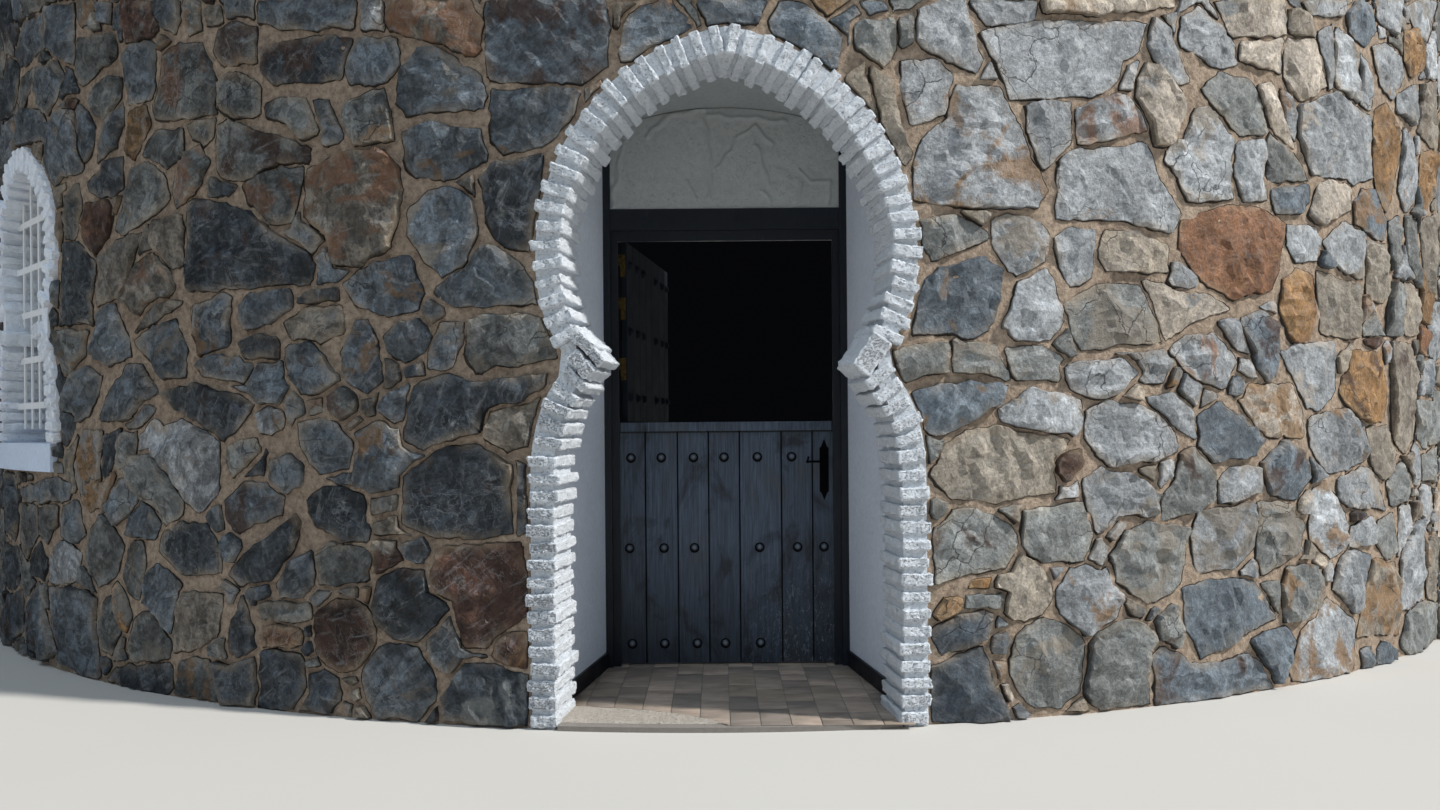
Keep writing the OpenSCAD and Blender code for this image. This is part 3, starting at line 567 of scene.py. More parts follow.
whitePaints = {  # its name, white and grime, how much grime is in the pits, and how high its lumps are
    "brick": ("lime paint on brick", (220, 226, 233), (118, 120, 126), 0.70, 0.014),
    # painted light: the window's bricks and sill are painted lighter and bluer, and the reveals bluer, standing in
    # for the blue skylight of the shade
    "window brick": ("lime paint with painted skylight", (240, 246, 255), (170, 178, 190), 0.40, 0.010),
    "sill": ("painted sill", (212, 226, 246), (160, 170, 186), 0.20, 0.006),
    "plaster": ("painted plaster", (188, 192, 192), (140, 142, 142), 0.22, 0.006),
    "reveal": ("lime wash on the reveals", (232, 239, 251), (188, 192, 198), 0.10, 0.004),
    "iron white": ("white paint on iron", (228, 230, 232), (160, 140, 120), 0.2, 0.001),
    "grout": ("floor grout", (136, 130, 124), (100, 95, 90), 0.3, 0.002),
    "bedding": ("pale bedding mortar", (178, 170, 160), (128, 120, 110), 0.6, 0.014),
}
darkPaints = {  # its name, tint and rubbed places, the stretch of its grain, then roughness and gloss
    "frame": ("black frame paint", (20, 27, 37), (58, 64, 74), (70, 70, 6)),
    # painted shade: the open upper leaf is painted darker than the lower leaf, for the shade of the unlit room
    # behind it
    "boards painted in shade": ("boards with painted shade", (28, 33, 41), (46, 51, 59), (85, 85, 5), 0.75, 0.1),
    "skirting": ("dark skirting", (15, 20, 29), (44, 48, 56), (20, 20, 20)),
    "timber": ("window timber", (96, 64, 40), (140, 104, 72), (60, 60, 6)),
}
metals = {  # its name, tint and dull spots, roughness, metal and gloss
    "iron": ("black iron", (4, 4, 6), (9, 9, 11), 0.85, 0.0, 0.08),
    "brass": ("brass", (128, 108, 62), (72, 60, 36), 0.45, 0.8),
}
looks = {"stone": stoneMaterial(), "mortar": mortarMaterial(), "wall": wallBodyMaterial(),
         "boards": boardMaterial(), "stud": studMaterial(), "tile": tileMaterial(), "glass": glassMaterial()}
for make, table in ((whitePaintMaterial, whitePaints), (darkPaintMaterial, darkPaints), (metalMaterial, metals)):
    for key, row in table.items():
        looks[key] = make(*row)
slotLooks = {
    "stone_wall": "wall", "white_brick": "brick", "plaster": "plaster", "floor_tile": "grout",
    "dark_skirting": "skirting", "black_frame": "frame", "dark_boards": "boards", "black_iron": "iron",
    "brass": "brass", "white_iron": "iron white", "window_timber": "timber", "window_glass": "glass",
}
nodeLooks = {"reveal_left": "reveal", "reveal_right": "reveal", "window_sill": "sill",
             "upper_leaf": "boards painted in shade", "door_head": "frame", "door_jamb_left": "frame",
             "door_jamb_right": "frame"}
print("stage: materials made")


def dressCadNodes():  # each node takes the look of the slot that the record gives it
    for part in frame["record"]["subparts"]:
        piece = cadNodes[part["node"]]
        piece.data.materials.clear()
        look = nodeLooks.get(part["node"], slotLooks[part["material_slot"]])
        piece.data.materials.append(looks[look])


dressCadNodes()
placeCamera()
lightTheScene()
layFloor()
print("stage: camera, light and floor")


# The keyhole lines of the doorway and the window, in metres, as the wall's face shows them
doorway = {"half": 0.79, "foot": 0.0, "low": 0.994, "lowEnd": 30, "high": 1.852, "round": 0.906,
           "across": 0.143, "highStart": -24, "turn": 7.5, "face": 0.115,
           "jambTop": 1.017, "jambCourses": 15, "waist": 1.475, "waistWide": 0.11,
           "pinch": {"left": 0.026, "right": 0.042}}
window = {"half": 0.54, "foot": 1.125, "low": 1.342, "lowEnd": 36, "high": 2.104, "round": 0.575,
          "across": 0.035, "highStart": -34, "turn": 0.0, "face": 0.115,
          "jambTop": 1.36, "jambCourses": 4, "waist": 1.7, "lowCourses": (6.0, 8.2, 5, 1.1), "highCourses": 14}


def arcPoints(cx, cz, r, start, end, count):
    angles = [math.radians(start + (end - start) * i / count) for i in range(count + 1)]
    return [(cx + r * math.cos(a), cz + r * math.sin(a)) for a in angles]


def keyholeLine(shape, inset=0.0):  # right half from the foot to the apex
    half, r = shape["half"] - inset, shape["round"] - inset
    top = math.degrees(math.acos(shape["across"] / r))
    return ([(half, shape["foot"])] + arcPoints(0, shape["low"], half, 0, shape["lowEnd"], 6)
            + arcPoints(-shape["across"], shape["high"], r, shape["highStart"], top, 20))


def pinchAt(shape, label, z):  # how far the outer line of the bricks draws in beside the cusp
    if "pinch" not in shape:
        return 0.0
    return shape["pinch"][label] * math.exp(-((z - shape["waist"]) / shape["waistWide"]) ** 2)


def outerLine(shape, label, inset=0.0):
    return [(x - pinchAt(shape, label, z), z) for x, z in keyholeLine(shape, inset)]


def closedKeyhole(shape, centre, inset=0.0):  # whole outline on the developed wall
    right = outerLine(shape, "right", inset)
    left = [(-x, z) for x, z in reversed(outerLine(shape, "left", inset)[:-1])]
    return np.array([(centre + x, z) for x, z in right + left])


windowCentre = math.radians(tower["windowTurn"]) * tower["radius"]
sill = {"foot": 0.983, "top": 1.125, "half": 0.49}
keepOut = [closedKeyhole(doorway, 0.0), closedKeyhole(window, windowCentre),
           np.array([(windowCentre + side * sill["half"], sill[level])
                     for side, level in ((-1, "foot"), (1, "foot"), (1, "top"), (-1, "top"))])]


def insideOf(points, outline):
    x, y = points[:, 0], points[:, 1]
    found = np.zeros(len(points), bool)
    for (ax, ay), (bx, by) in zip(outline, np.roll(outline, -1, 0)):
        crosses = (ay > y) != (by > y)
        found ^= crosses & (x < (bx - ax) * (y - ay) / (by - ay + 1e-12) + ax)
    return found


def nearestOn(points, outline):  # nearest point of the outline to each point, and its distance
    a, b = outline, np.roll(outline, -1, 0)
    d = b - a
    t = ((points[:, None] - a) * d).sum(2) / np.maximum((d * d).sum(1), 1e-12)
    near = a + np.clip(t, 0, 1)[:, :, None] * d
    dist = np.linalg.norm(points[:, None] - near, axis=2)
    best = dist.argmin(1)
    rows = np.arange(len(points))
    return near[rows, best], dist[rows, best]


def pushedClear(points, gap):  # moves points that lie in or near an opening's outline out of it
    for outline in keepOut:
        near, dist = nearestOn(points, outline)
        within = insideOf(points, outline)
        move = within | (dist < gap)
        away = (points - near) / np.maximum(dist, 1e-9)[:, None]
        away[within] *= -1
        points[move] = near[move] + away[move] * gap
    return points


def noiseAt(a, b, scale, shift):
    return noise.noise(Vector((a * scale[0], b * scale[1], shift)))


def areaOf(outline):
    x, y = outline[:, 0], outline[:, 1]
    return 0.5 * float(np.sum(x * np.roll(y, -1) - np.roll(x, -1) * y))


# Stones that the photograph shows, read off: tone letters and corners in its pixels
stonesSeen = """
b 20,24 41,12 42,44 30,57 16,66 12,52 | n 22,0 40,0 36,10 24,16 | b 46,8 70,2 70,36 70,64 52,52 44,44 |
n 74,0 92,0 86,22 78,26 74,14 | b 96,2 108,2 107,22 98,20 | m 122,2 146,0 158,22 150,35 122,41 |
b 150,0 176,0 176,18 172,33 160,26 152,16 | n 180,0 196,2 198,28 186,34 181,20 | t 202,8 216,6 218,22 204,24 |
b 257,0 354,0 350,25 300,28 275,26 256,20 | n 74,38 112,34 112,58 96,68 78,84 72,70 |
b 122,56 130,45 153,42 149,98 126,104 120,64 |
nr 160,54 176,42 198,44 212,74 214,112 186,117 152,116 150,102 158,80 |
nm 216,30 232,22 254,25 253,60 222,66 212,50 | dm 258,46 330,36 350,40 338,77 270,83 260,70 |
n 216,86 226,74 242,74 256,88 257,112 232,118 215,106 | nt 262,104 276,97 308,98 318,130 300,138 284,122 264,114 |
b 308,97 326,98 340,134 334,142 322,143 | b 36,68 54,62 61,76 50,104 44,114 34,106 30,88 |
d 4,58 16,62 14,94 8,116 0,120 0,80 | n 18,78 33,66 28,86 18,112 15,98 |
b 20,110 36,108 42,122 39,138 18,144 14,134 |
b 46,124 58,110 70,112 74,150 82,164 78,170 64,174 50,184 40,160 42,140 |
b 74,104 84,110 92,130 90,146 80,164 74,150 | m 58,106 64,98 74,99 70,108 |
n 86,94 98,79 118,76 116,96 102,118 92,110 | b 108,116 119,102 120,126 112,146 94,162 98,140 |
ot 126,112 142,104 147,122 140,138 130,158 122,150 | n 142,146 154,130 178,128 180,156 162,167 140,154 |
n 184,124 212,118 212,134 200,144 188,136 | nr 176,158 196,146 204,162 198,180 184,200 174,206 170,190 |
nm 214,126 224,120 254,130 284,140 306,150 306,164 276,164 240,182 216,180 212,156 |
nr 240,184 276,166 302,166 288,222 270,222 258,212 246,200 | d 204,182 214,176 236,184 226,194 206,196 |
n 132,168 144,161 162,178 167,196 150,214 122,232 112,228 122,200 126,180 |
d 84,184 100,166 119,156 118,188 108,196 86,193 | n 60,196 74,184 78,214 72,240 62,238 |
mr 82,204 104,200 110,212 104,236 92,256 80,240 76,224 | t 150,222 178,214 182,240 180,262 166,268 152,250 |
d 186,200 212,201 244,212 262,226 298,250 312,264 308,282 266,284 190,292 182,270 |
d 60,242 72,240 92,264 88,300 89,323 56,324 | t 96,262 112,242 138,234 130,256 124,282 116,296 94,304 92,286 |
tr 126,282 134,262 150,254 166,268 172,284 166,296 146,300 136,314 122,300 |
t 140,318 158,300 178,302 152,318 132,332 | b 90,336 100,308 112,304 126,342 127,356 104,364 86,352 |
n 52,330 84,333 82,354 66,374 60,372 | b 132,342 150,326 172,320 183,350 181,376 160,378 148,360 |
b 188,308 208,302 220,291 228,298 226,344 196,356 190,334 |
b 236,306 246,293 286,291 291,304 268,322 244,329 237,320 | d 236,342 256,335 274,340 276,356 240,358 |
b 66,392 72,372 86,368 98,376 94,396 84,414 76,420 62,408 |
b 106,392 124,365 138,366 156,390 140,400 128,422 96,418 102,404 | b 60,410 74,414 70,436 63,446 59,440 |
ol 80,432 100,432 97,470 95,506 88,514 78,500 72,466 | d 102,436 118,430 112,456 104,478 98,470 |
n 120,432 134,430 132,454 118,470 114,460 | b 122,424 142,404 152,408 146,418 130,430 |
l 136,438 150,420 160,428 176,420 196,426 216,442 214,496 194,512 182,502 160,470 150,452 136,450 |
n 134,456 146,450 160,472 180,502 178,514 162,526 150,506 130,484 124,470 |
d 158,392 188,384 236,396 250,404 236,424 222,438 198,428 178,412 |
b 192,366 206,357 236,357 250,366 240,380 200,376 | l 252,414 264,408 280,412 282,426 268,434 256,430 |
n 226,446 252,438 258,450 244,464 230,476 224,462 | b 18,488 54,478 68,484 66,500 44,502 24,506 |
d 0,472 13,476 15,520 12,540 2,530 | n 18,504 34,502 34,536 24,558 17,540 | n 38,508 54,506 54,526 44,544 36,534 |
b 60,504 74,500 82,536 74,542 57,537 | b 104,506 116,480 124,480 134,498 126,512 112,524 |
b 128,514 138,502 148,510 159,524 150,540 126,534 | n 88,530 98,514 110,528 120,546 112,578 94,586 82,562 |
d 158,538 176,523 204,524 216,548 218,572 180,574 156,552 |
bm 222,502 240,484 264,482 280,498 278,514 252,524 236,534 224,522 |
d 226,576 240,556 270,536 292,514 298,524 290,548 280,570 262,580 238,584 |
l 46,560 58,540 78,554 74,578 60,587 47,582 | d 28,558 36,542 44,560 42,580 30,576 |
d 2,546 14,548 18,566 12,592 4,586 | n 120,578 128,544 138,540 142,562 136,600 126,592 |
b 144,576 152,567 170,576 178,586 168,634 154,616 142,604 | o 108,592 114,582 124,598 128,616 122,632 114,614 |
n 100,604 108,594 118,628 108,654 98,648 96,622 | b 46,588 80,590 93,600 92,630 97,678 76,674 58,662 50,640 |
b 24,604 36,584 44,620 54,652 44,660 22,640 | d 6,596 20,590 20,632 10,642 4,626 |
n 124,650 132,618 146,612 168,642 166,660 130,664 | d 104,682 112,668 168,664 170,688 158,698 130,692 |
t 176,592 220,597 214,636 196,650 172,652 170,622 | d 226,652 230,622 240,598 246,612 252,648 236,658 |
n 176,666 186,660 206,662 220,704 190,702 172,694 | d 212,664 226,668 250,660 254,686 250,708 224,706 |
n 258,606 282,602 306,604 308,618 284,622 262,620 | r 260,636 274,624 298,630 298,644 264,650 |
d 258,656 276,650 298,656 302,690 288,712 256,708 | l 361,0 379,0 380,28 360,28 |
tr 385,8 396,0 468,0 481,22 480,48 468,54 404,32 386,25 | bm 486,0 605,0 606,66 584,80 486,79 |
b 350,50 358,38 394,36 397,64 384,80 350,83 346,74 |
b 400,68 416,50 444,48 460,66 480,76 486,96 480,108 404,113 394,100 |
b 488,90 560,86 578,92 572,112 556,132 540,144 500,152 490,140 |
n 344,102 380,86 388,118 391,138 352,143 342,120 |
b 400,132 424,124 478,130 482,150 484,160 440,180 412,176 402,156 |
tr 304,172 334,154 376,150 396,166 396,214 386,248 356,266 336,262 326,232 302,216 |
b 404,212 428,190 446,186 468,198 477,228 466,262 440,275 424,262 406,234 |
d 480,176 490,165 540,154 536,196 530,252 504,244 486,220 |
b 342,284 360,270 386,260 408,257 422,292 414,308 386,316 354,304 |
b 434,290 470,264 482,246 496,247 520,266 539,298 536,304 452,304 436,298 |
t 282,322 308,306 338,306 342,330 318,341 290,338 | d 294,302 308,290 336,290 334,300 |
b 284,348 306,342 316,350 338,378 322,390 300,392 286,376 |
b 340,350 356,322 364,320 376,348 378,378 366,392 346,380 |
b 382,336 396,324 418,318 428,336 424,352 404,360 388,352 | b 428,352 440,322 462,322 462,340 450,366 428,368 |
n 468,318 508,315 542,320 558,356 500,366 478,372 464,352 |
d 414,384 452,374 468,384 508,380 546,374 540,396 520,402 486,408 478,430 452,438 420,448 404,440 404,404 |
t 488,412 522,404 544,392 538,424 528,446 506,452 484,438 | b 380,398 406,384 404,420 390,422 376,410 |
b 296,424 326,420 352,444 346,468 318,474 300,452 | b 268,460 288,456 300,468 298,486 284,492 270,484 |
d 402,478 424,462 452,446 480,448 512,470 512,500 512,534 470,536 430,536 402,524 |
d 516,462 526,468 526,534 515,536 | d 304,500 324,486 362,496 366,540 340,542 312,524 |
d 276,588 284,566 308,554 312,584 300,598 280,600 | n 314,556 328,544 368,552 366,580 318,584 |
b 400,546 420,539 428,550 422,562 410,560 |
m 430,572 442,550 462,546 518,546 526,580 524,616 496,634 486,648 464,646 450,600 432,590 |
m 492,642 510,634 526,634 524,670 502,668 490,656 | d 462,664 496,668 526,676 524,728 444,728 440,700 |
b 620,52 628,16 648,2 670,0 690,24 676,38 640,56 622,62 | b 698,0 766,0 758,20 708,22 |
b 770,20 780,0 806,2 842,38 838,64 826,68 800,50 776,34 | n 856,22 897,18 898,48 884,66 858,48 |
n 899,18 916,12 914,42 900,46 | b 862,0 886,0 888,8 870,12 |
l 920,8 940,2 964,0 976,34 984,58 978,72 940,54 916,40 |
l 982,30 1060,22 1150,22 1140,48 1126,58 1118,78 1106,94 1010,96 1002,66 990,48 | l 972,0 1038,0 1038,18 990,22 |
w 1044,0 1178,0 1176,6 1090,12 1048,10 | t 848,76 864,62 872,84 880,116 850,90 |
t 868,66 894,80 904,132 914,156 906,162 886,128 874,92 | lr 904,60 938,58 956,76 946,114 914,121 903,88 |
lo 958,84 1000,86 1022,128 1050,190 1040,206 960,203 918,197 916,168 926,138 950,116 |
l 1030,104 1072,100 1073,138 1046,168 1028,136 |
lr 1078,108 1104,96 1128,96 1142,108 1150,128 1120,136 1080,143 1076,130 |
l 1062,160 1074,150 1148,144 1160,178 1184,212 1174,232 1120,220 1060,218 |
n 922,220 944,214 966,216 990,236 958,250 934,258 926,246 | t 964,210 992,212 984,224 |
lp 994,220 1012,214 1042,222 1052,236 1046,262 1020,276 1010,270 994,244 |
b 926,284 940,268 986,258 1002,270 1002,292 990,330 972,338 950,330 916,334 |
l 1056,240 1070,230 1096,230 1094,276 1072,285 1060,256 |
pl 1106,230 1140,236 1170,246 1172,272 1108,270 1102,254 |
l 1008,318 1024,280 1046,268 1056,286 1066,322 1050,338 1022,338 1004,326 |
nt 1068,304 1100,284 1138,286 1152,304 1165,342 1082,350 | n 892,352 924,345 948,344 950,370 906,380 |
nt 955,340 996,346 1004,362 1012,380 956,370 | n 1008,350 1042,346 1064,360 1060,380 1016,380 |
b 916,392 946,384 1006,386 1000,402 958,430 938,438 922,426 |
lt 1002,410 1034,390 1082,400 1084,424 1076,436 1040,430 1004,422 |
l 1064,366 1128,360 1140,372 1120,392 1098,398 1074,388 |
l 1088,410 1110,400 1150,410 1176,432 1180,452 1150,460 1112,466 1088,440 |
t 966,432 1004,426 1070,440 1056,460 1056,490 1000,502 950,496 934,474 946,446 |
n 924,436 944,440 936,460 928,464 | m 1058,458 1082,450 1084,466 1068,480 1058,472 |
n 936,528 956,510 976,508 1012,524 1019,542 1006,568 964,576 938,582 | n 930,500 947,502 944,518 934,518 |
n 1026,512 1084,502 1096,534 1084,560 1044,560 1024,546 |
lt 1086,478 1104,468 1146,480 1162,496 1160,514 1118,516 1098,536 1090,514 |
l 1090,556 1100,538 1110,548 1104,564 |
nt 1112,554 1130,532 1150,524 1190,528 1186,568 1176,592 1150,604 1120,580 |
o 936,616 948,598 964,598 962,608 942,620 | n 968,596 1004,596 1000,608 966,608 |
d 934,634 950,620 980,608 994,612 986,640 944,654 | d 932,668 984,646 996,690 1012,718 934,722 |
l 1150,44 1156,16 1168,26 1180,54 1194,80 1182,82 1158,58 |
l 1183,40 1186,16 1202,6 1222,26 1240,46 1239,62 1222,66 1186,46 | w 1218,0 1288,0 1290,33 1234,33 |
p 1291,8 1308,14 1320,34 1300,36 1290,30 | l 1306,0 1348,0 1346,14 1312,12 |
b 1350,12 1360,0 1374,6 1380,30 1368,44 1352,28 | l 1380,0 1404,0 1398,34 1380,16 |
l 1410,8 1424,0 1440,2 1430,40 1420,32 | o 1408,30 1416,28 1424,50 1424,68 1414,76 1408,60 |
w 1140,84 1148,62 1160,66 1186,92 1188,110 1172,142 1158,144 1148,110 1138,98 |
w 1244,42 1288,38 1284,70 1262,64 1240,58 | w 1290,38 1318,38 1332,84 1304,100 1292,90 1285,62 |
l 1320,32 1336,24 1338,84 1332,88 1326,60 | l 1340,26 1352,34 1358,60 1362,104 1350,96 1338,84 |
l 1364,52 1370,60 1376,90 1374,112 1364,104 | l 1376,46 1388,42 1404,56 1408,76 1396,98 1384,84 |
n 1206,88 1222,72 1252,80 1264,100 1270,132 1244,134 1230,118 |
lp 1186,140 1200,108 1216,112 1238,140 1232,176 1236,198 1190,200 1182,178 1168,158 1176,142 |
w 1262,84 1272,82 1298,146 1290,146 1278,134 1268,104 | l 1284,88 1292,96 1298,112 1298,140 1286,116 |
l 1240,142 1264,138 1270,196 1246,200 1238,174 | n 1272,130 1296,152 1312,180 1268,180 |
l 1302,106 1342,90 1374,116 1376,176 1356,182 1316,172 1304,136 |
o 1378,112 1390,104 1402,126 1404,152 1396,190 1390,212 1382,200 1376,160 |
l 1400,92 1420,84 1422,100 1416,124 1400,110 | t 1424,84 1440,82 1440,154 1420,130 |
l 1408,128 1416,140 1418,200 1408,214 1402,190 | o 1424,152 1440,152 1438,190 1428,210 1422,190 |
b 1274,190 1312,186 1314,200 1304,214 1280,212 | w 1318,196 1326,180 1354,184 1354,208 1324,224 1314,216 |
b 1358,200 1366,188 1378,190 1390,220 1386,242 1358,222 |
r 1184,222 1230,207 1262,208 1288,224 1282,268 1274,290 1238,298 1206,280 1182,248 |
l 1292,226 1318,228 1324,240 1320,260 1300,262 1290,246 | l 1326,242 1348,222 1368,234 1366,278 1344,270 |
n 1392,222 1402,216 1404,250 1396,270 | n 1408,214 1420,222 1422,290 1410,262 |
t 1424,222 1440,214 1440,300 1428,284 | t 1370,242 1388,244 1394,290 1386,302 1370,296 |
l 1174,262 1186,266 1200,282 1192,290 1172,286 | w 1146,282 1196,292 1212,296 1232,308 1196,322 1168,340 |
lr 1172,350 1188,336 1216,334 1238,362 1226,388 1200,378 | l 1222,322 1238,320 1252,354 1240,350 |
b 1244,318 1262,312 1280,326 1280,372 1270,382 1256,360 | l 1264,308 1276,302 1280,312 |
or 1286,280 1300,268 1316,276 1318,320 1308,342 1296,340 1284,310 |
t 1320,272 1346,280 1362,286 1362,338 1324,332 | n 1366,326 1378,312 1386,330 1388,336 1366,338 |
n 1394,282 1404,284 1402,336 1390,334 | p 1408,282 1422,290 1420,334 1408,334 | m 1362,338 1386,336 1380,350 |
l 1284,352 1300,344 1336,342 1338,390 1324,409 1310,406 | p 1340,356 1354,344 1350,372 1342,372 |
o 1354,352 1384,350 1390,400 1384,422 1366,422 1342,392 1348,370 |
t 1394,342 1414,344 1420,380 1416,440 1408,453 1396,440 | r 1422,326 1432,334 1430,356 1422,350 |
l 1424,362 1436,362 1436,396 1426,392 | b 1236,376 1250,382 1246,396 1232,392 |
wo 1242,400 1252,384 1294,384 1304,410 1306,436 1268,434 |
b 1202,416 1226,402 1264,440 1256,456 1216,460 1202,444 | l 1150,398 1176,394 1196,412 1202,440 1178,428 |
l 1312,418 1348,408 1368,424 1370,456 1352,474 1330,470 1314,448 |
b 1264,462 1288,440 1306,452 1314,476 1302,500 1272,492 | t 1370,430 1390,426 1400,452 1392,480 1376,474 |
n 1184,456 1200,446 1216,470 1216,500 1200,506 1166,520 1162,500 1180,480 |
n 1420,400 1432,404 1430,450 1420,440 | n 1424,456 1440,448 1440,482 1426,480 |
l 1222,480 1234,468 1260,468 1262,492 1240,500 1221,504 | w 1302,496 1314,490 1312,514 1302,512 |
lt 1200,512 1256,504 1258,548 1238,568 1200,572 1194,540 |
nt 1262,504 1292,504 1308,526 1304,552 1266,574 1260,558 |
lo 1314,492 1328,482 1348,516 1350,544 1334,558 1314,540 |
l 1342,480 1356,468 1378,470 1388,508 1352,506 1342,498 | n 1390,480 1404,462 1414,480 1412,500 1394,506 |
l 1354,528 1376,518 1378,542 1352,548 | n 1382,522 1396,512 1401,550 1390,560 1379,542 |
l 1402,508 1412,504 1412,532 1402,556 |
b 1186,588 1206,582 1256,582 1272,600 1278,618 1246,634 1204,658 1190,630 |
n 1264,584 1282,582 1282,612 1274,610 | n 1284,592 1290,570 1312,566 1324,578 1322,604 1300,620 1288,622 |
l 1340,566 1350,552 1374,556 1368,592 1358,614 1336,588 | to 1376,560 1398,562 1402,634 1360,638 1366,604 |
l 1404,560 1414,530 1424,520 1426,600 1404,612 | t 1430,540 1440,536 1440,600 1430,600 |
n 1404,644 1410,614 1424,602 1440,606 1440,636 1410,654 |
b 1254,642 1268,632 1290,628 1300,642 1294,662 1280,682 |
lo 1306,632 1320,620 1330,598 1348,614 1358,622 1356,672 1300,682 1292,672 |
b 1364,652 1372,648 1376,662 1368,672 | b 1380,652 1386,644 1396,652 1392,664 1378,666 |
n 1158,622 1176,606 1186,640 1180,650 1164,640 |
b 1156,656 1170,646 1192,666 1222,664 1250,656 1262,662 1276,688 1160,706
"""

stoneWork = {
    "cell": 0.006,         # the wall is divided this finely to lay the stones out
    "wobble": 0.006, "wobbleGrid": (90, 32),
    "clearOfBrick": 0.008, "topClear": 0.006, "endClear": 0.02, "footClear": 0.002,
    "grow": 0.008,         # the read outlines grow by this much where there is room
    "seenJoint": 0.013, "joint": 0.019,
    "simple": 0.0045, "fillSimple": 0.008,  # slack of the outlines' corners
    "least": 0.0007, "leastRough": 0.0008,  # smallest areas, before and after the sides are broken
    "edgeStep": 0.021, "edgeJitter": 0.0030, "edgeWave": 0.011, "waveScale": (17, 17), "bow": (-0.004, 0.006),
    "cornerCut": 0.004, "cornerShare": 0.28,
    "faceStep": 0.025,     # spacing of the points on a face
    "bevel": 0.0045,
    "lift": (0.62, 1.0),   # painted shade: stones left of the doorway, in the shade, are painted darker
    "liftWhere": (-1.4, 0.6), "cutWhere": (-1.0, 0.4),
    # painted shade: left of the doorway each tone is scaled by its own factor, most of them darker
    "shadeCut": {"b": 0.84, "n": 0.74, "t": 0.76, "r": 0.68, "o": 0.84, "m": 1.26, "w": 0.9},
    "spreadOfLift": {True: (0.82, 1.20), False: (0.66, 1.36)},  # stones read from the photograph, and the others
    "usualStains": {"w": "lobt", "r": "mdo", "l": "wobt", "d": "bnm"}, "otherStains": "ntmo",
    "stained": {True: (0.47, 0.54), False: (0.38, 0.46)},  # with a stain that was read, and without
    "lessStained": ((-0.4, 0.6, 1.5, 2.6), (0.0, 0.045, 0.040, -0.012)),  # by distance right of the doorway
    "relief": (0.020, 0.042), "lowest": 0.012, "highest": 0.049, "sunk": -0.004,
    "tilt": 0.05, "planes": (2, 5), "slopes": (0.10, 0.46), "planeStarts": (0.05, 0.8),
    # a dark crevice ring round each stone's foot, a painted shadow, widest on the side away from the light
    "creviceShadow": (0.0008, 0.0095), "creviceTop": 0.010, "creviceFoot": -0.002, "shadeSide": (-0.8, -0.6),
    "patchy": (0.7, 2.8), "patchScale": (9, 9), "patchMost": 1.8,
    # painted shade: sides away from the light get a lower rim value, which the stone material paints darker
    "rimReach": 0.035, "sideRim": (0.05, 0.09, 0.1),
    "faceNoise": 0.0024, "flakes": 0.013, "flakeScale": (14, 26),
    "ridges": 0.030, "ridgeScale": (5, 10), "ridgeMiddle": 0.16,
    "fillSizes": (0.19, 0.15, 0.115, 0.085, 0.06, 0.042, 0.03),
    "fillTries": 5000, "fillRounds": 3, "fillVary": (0.85, 1.15),
    "fillRoom": 0.50, "fillApart": 0.80, "fillReach": 2.4, "fillMost": 3.2,  # as shares of a stone's size
    "leftTones": "b b b d d n n b b nr d n t nm b t m d",
    "rightTones": "l l l n l w t l lo l n l b lt p nt l o",
    "tonesTurn": 0.6,      # distance right of the doorway over which the tones change
}
sectors = {"stones_far_left": (-99, -3.0), "stones_left": (-3.0, -1.05), "stones_gate": (-1.05, 1.05),
           "stones_right": (1.05, 3.0), "stones_far_right": (3.0, 99)}


def readStones():
    found = []
    for stone in stonesSeen.split("|"):
        letters, *corners = stone.split()
        outline = np.array([pixelToWall(*(float(v) for v in corner.split(","))) for corner in corners])
        found.append((letters, outline if areaOf(outline) > 0 else outline[::-1]))
    return found


def drawnIn(outline, gap):  # moves each side of an outline inwards
    before, after = outline - np.roll(outline, 1, 0), np.roll(outline, -1, 0) - outline
    def inward(d):
        return np.stack([-d[:, 1], d[:, 0]], 1) / np.maximum(np.linalg.norm(d, axis=1), 1e-9)[:, None]
    lean = inward(before) + inward(after)
    lean /= np.maximum(np.linalg.norm(lean, axis=1), 0.6)[:, None]
    return outline + lean * gap


def gapTo(outline, spots):  # distance to an outline, negative inside it
    gap = np.empty(len(spots))
    for start in range(0, len(spots), 20000):
        some = spots[start:start + 20000]
        dist = nearestOn(some, outline)[1]
        dist[insideOf(some, outline)] *= -1
        gap[start:start + 20000] = dist
    return gap


def softField(shape, coarse, rng):  # smooth random numbers from -1 to 1
    low = np.array([[rng.uniform(-1, 1) for _ in range(coarse[1])] for _ in range(coarse[0])])
    rows = np.linspace(0, coarse[0] - 1, shape[0])
    columns = np.linspace(0, coarse[1] - 1, shape[1])
    wide = np.stack([np.interp(columns, np.arange(coarse[1]), line) for line in low])
    return np.stack([np.interp(rows, np.arange(coarse[0]), line) for line in wide.T]).T


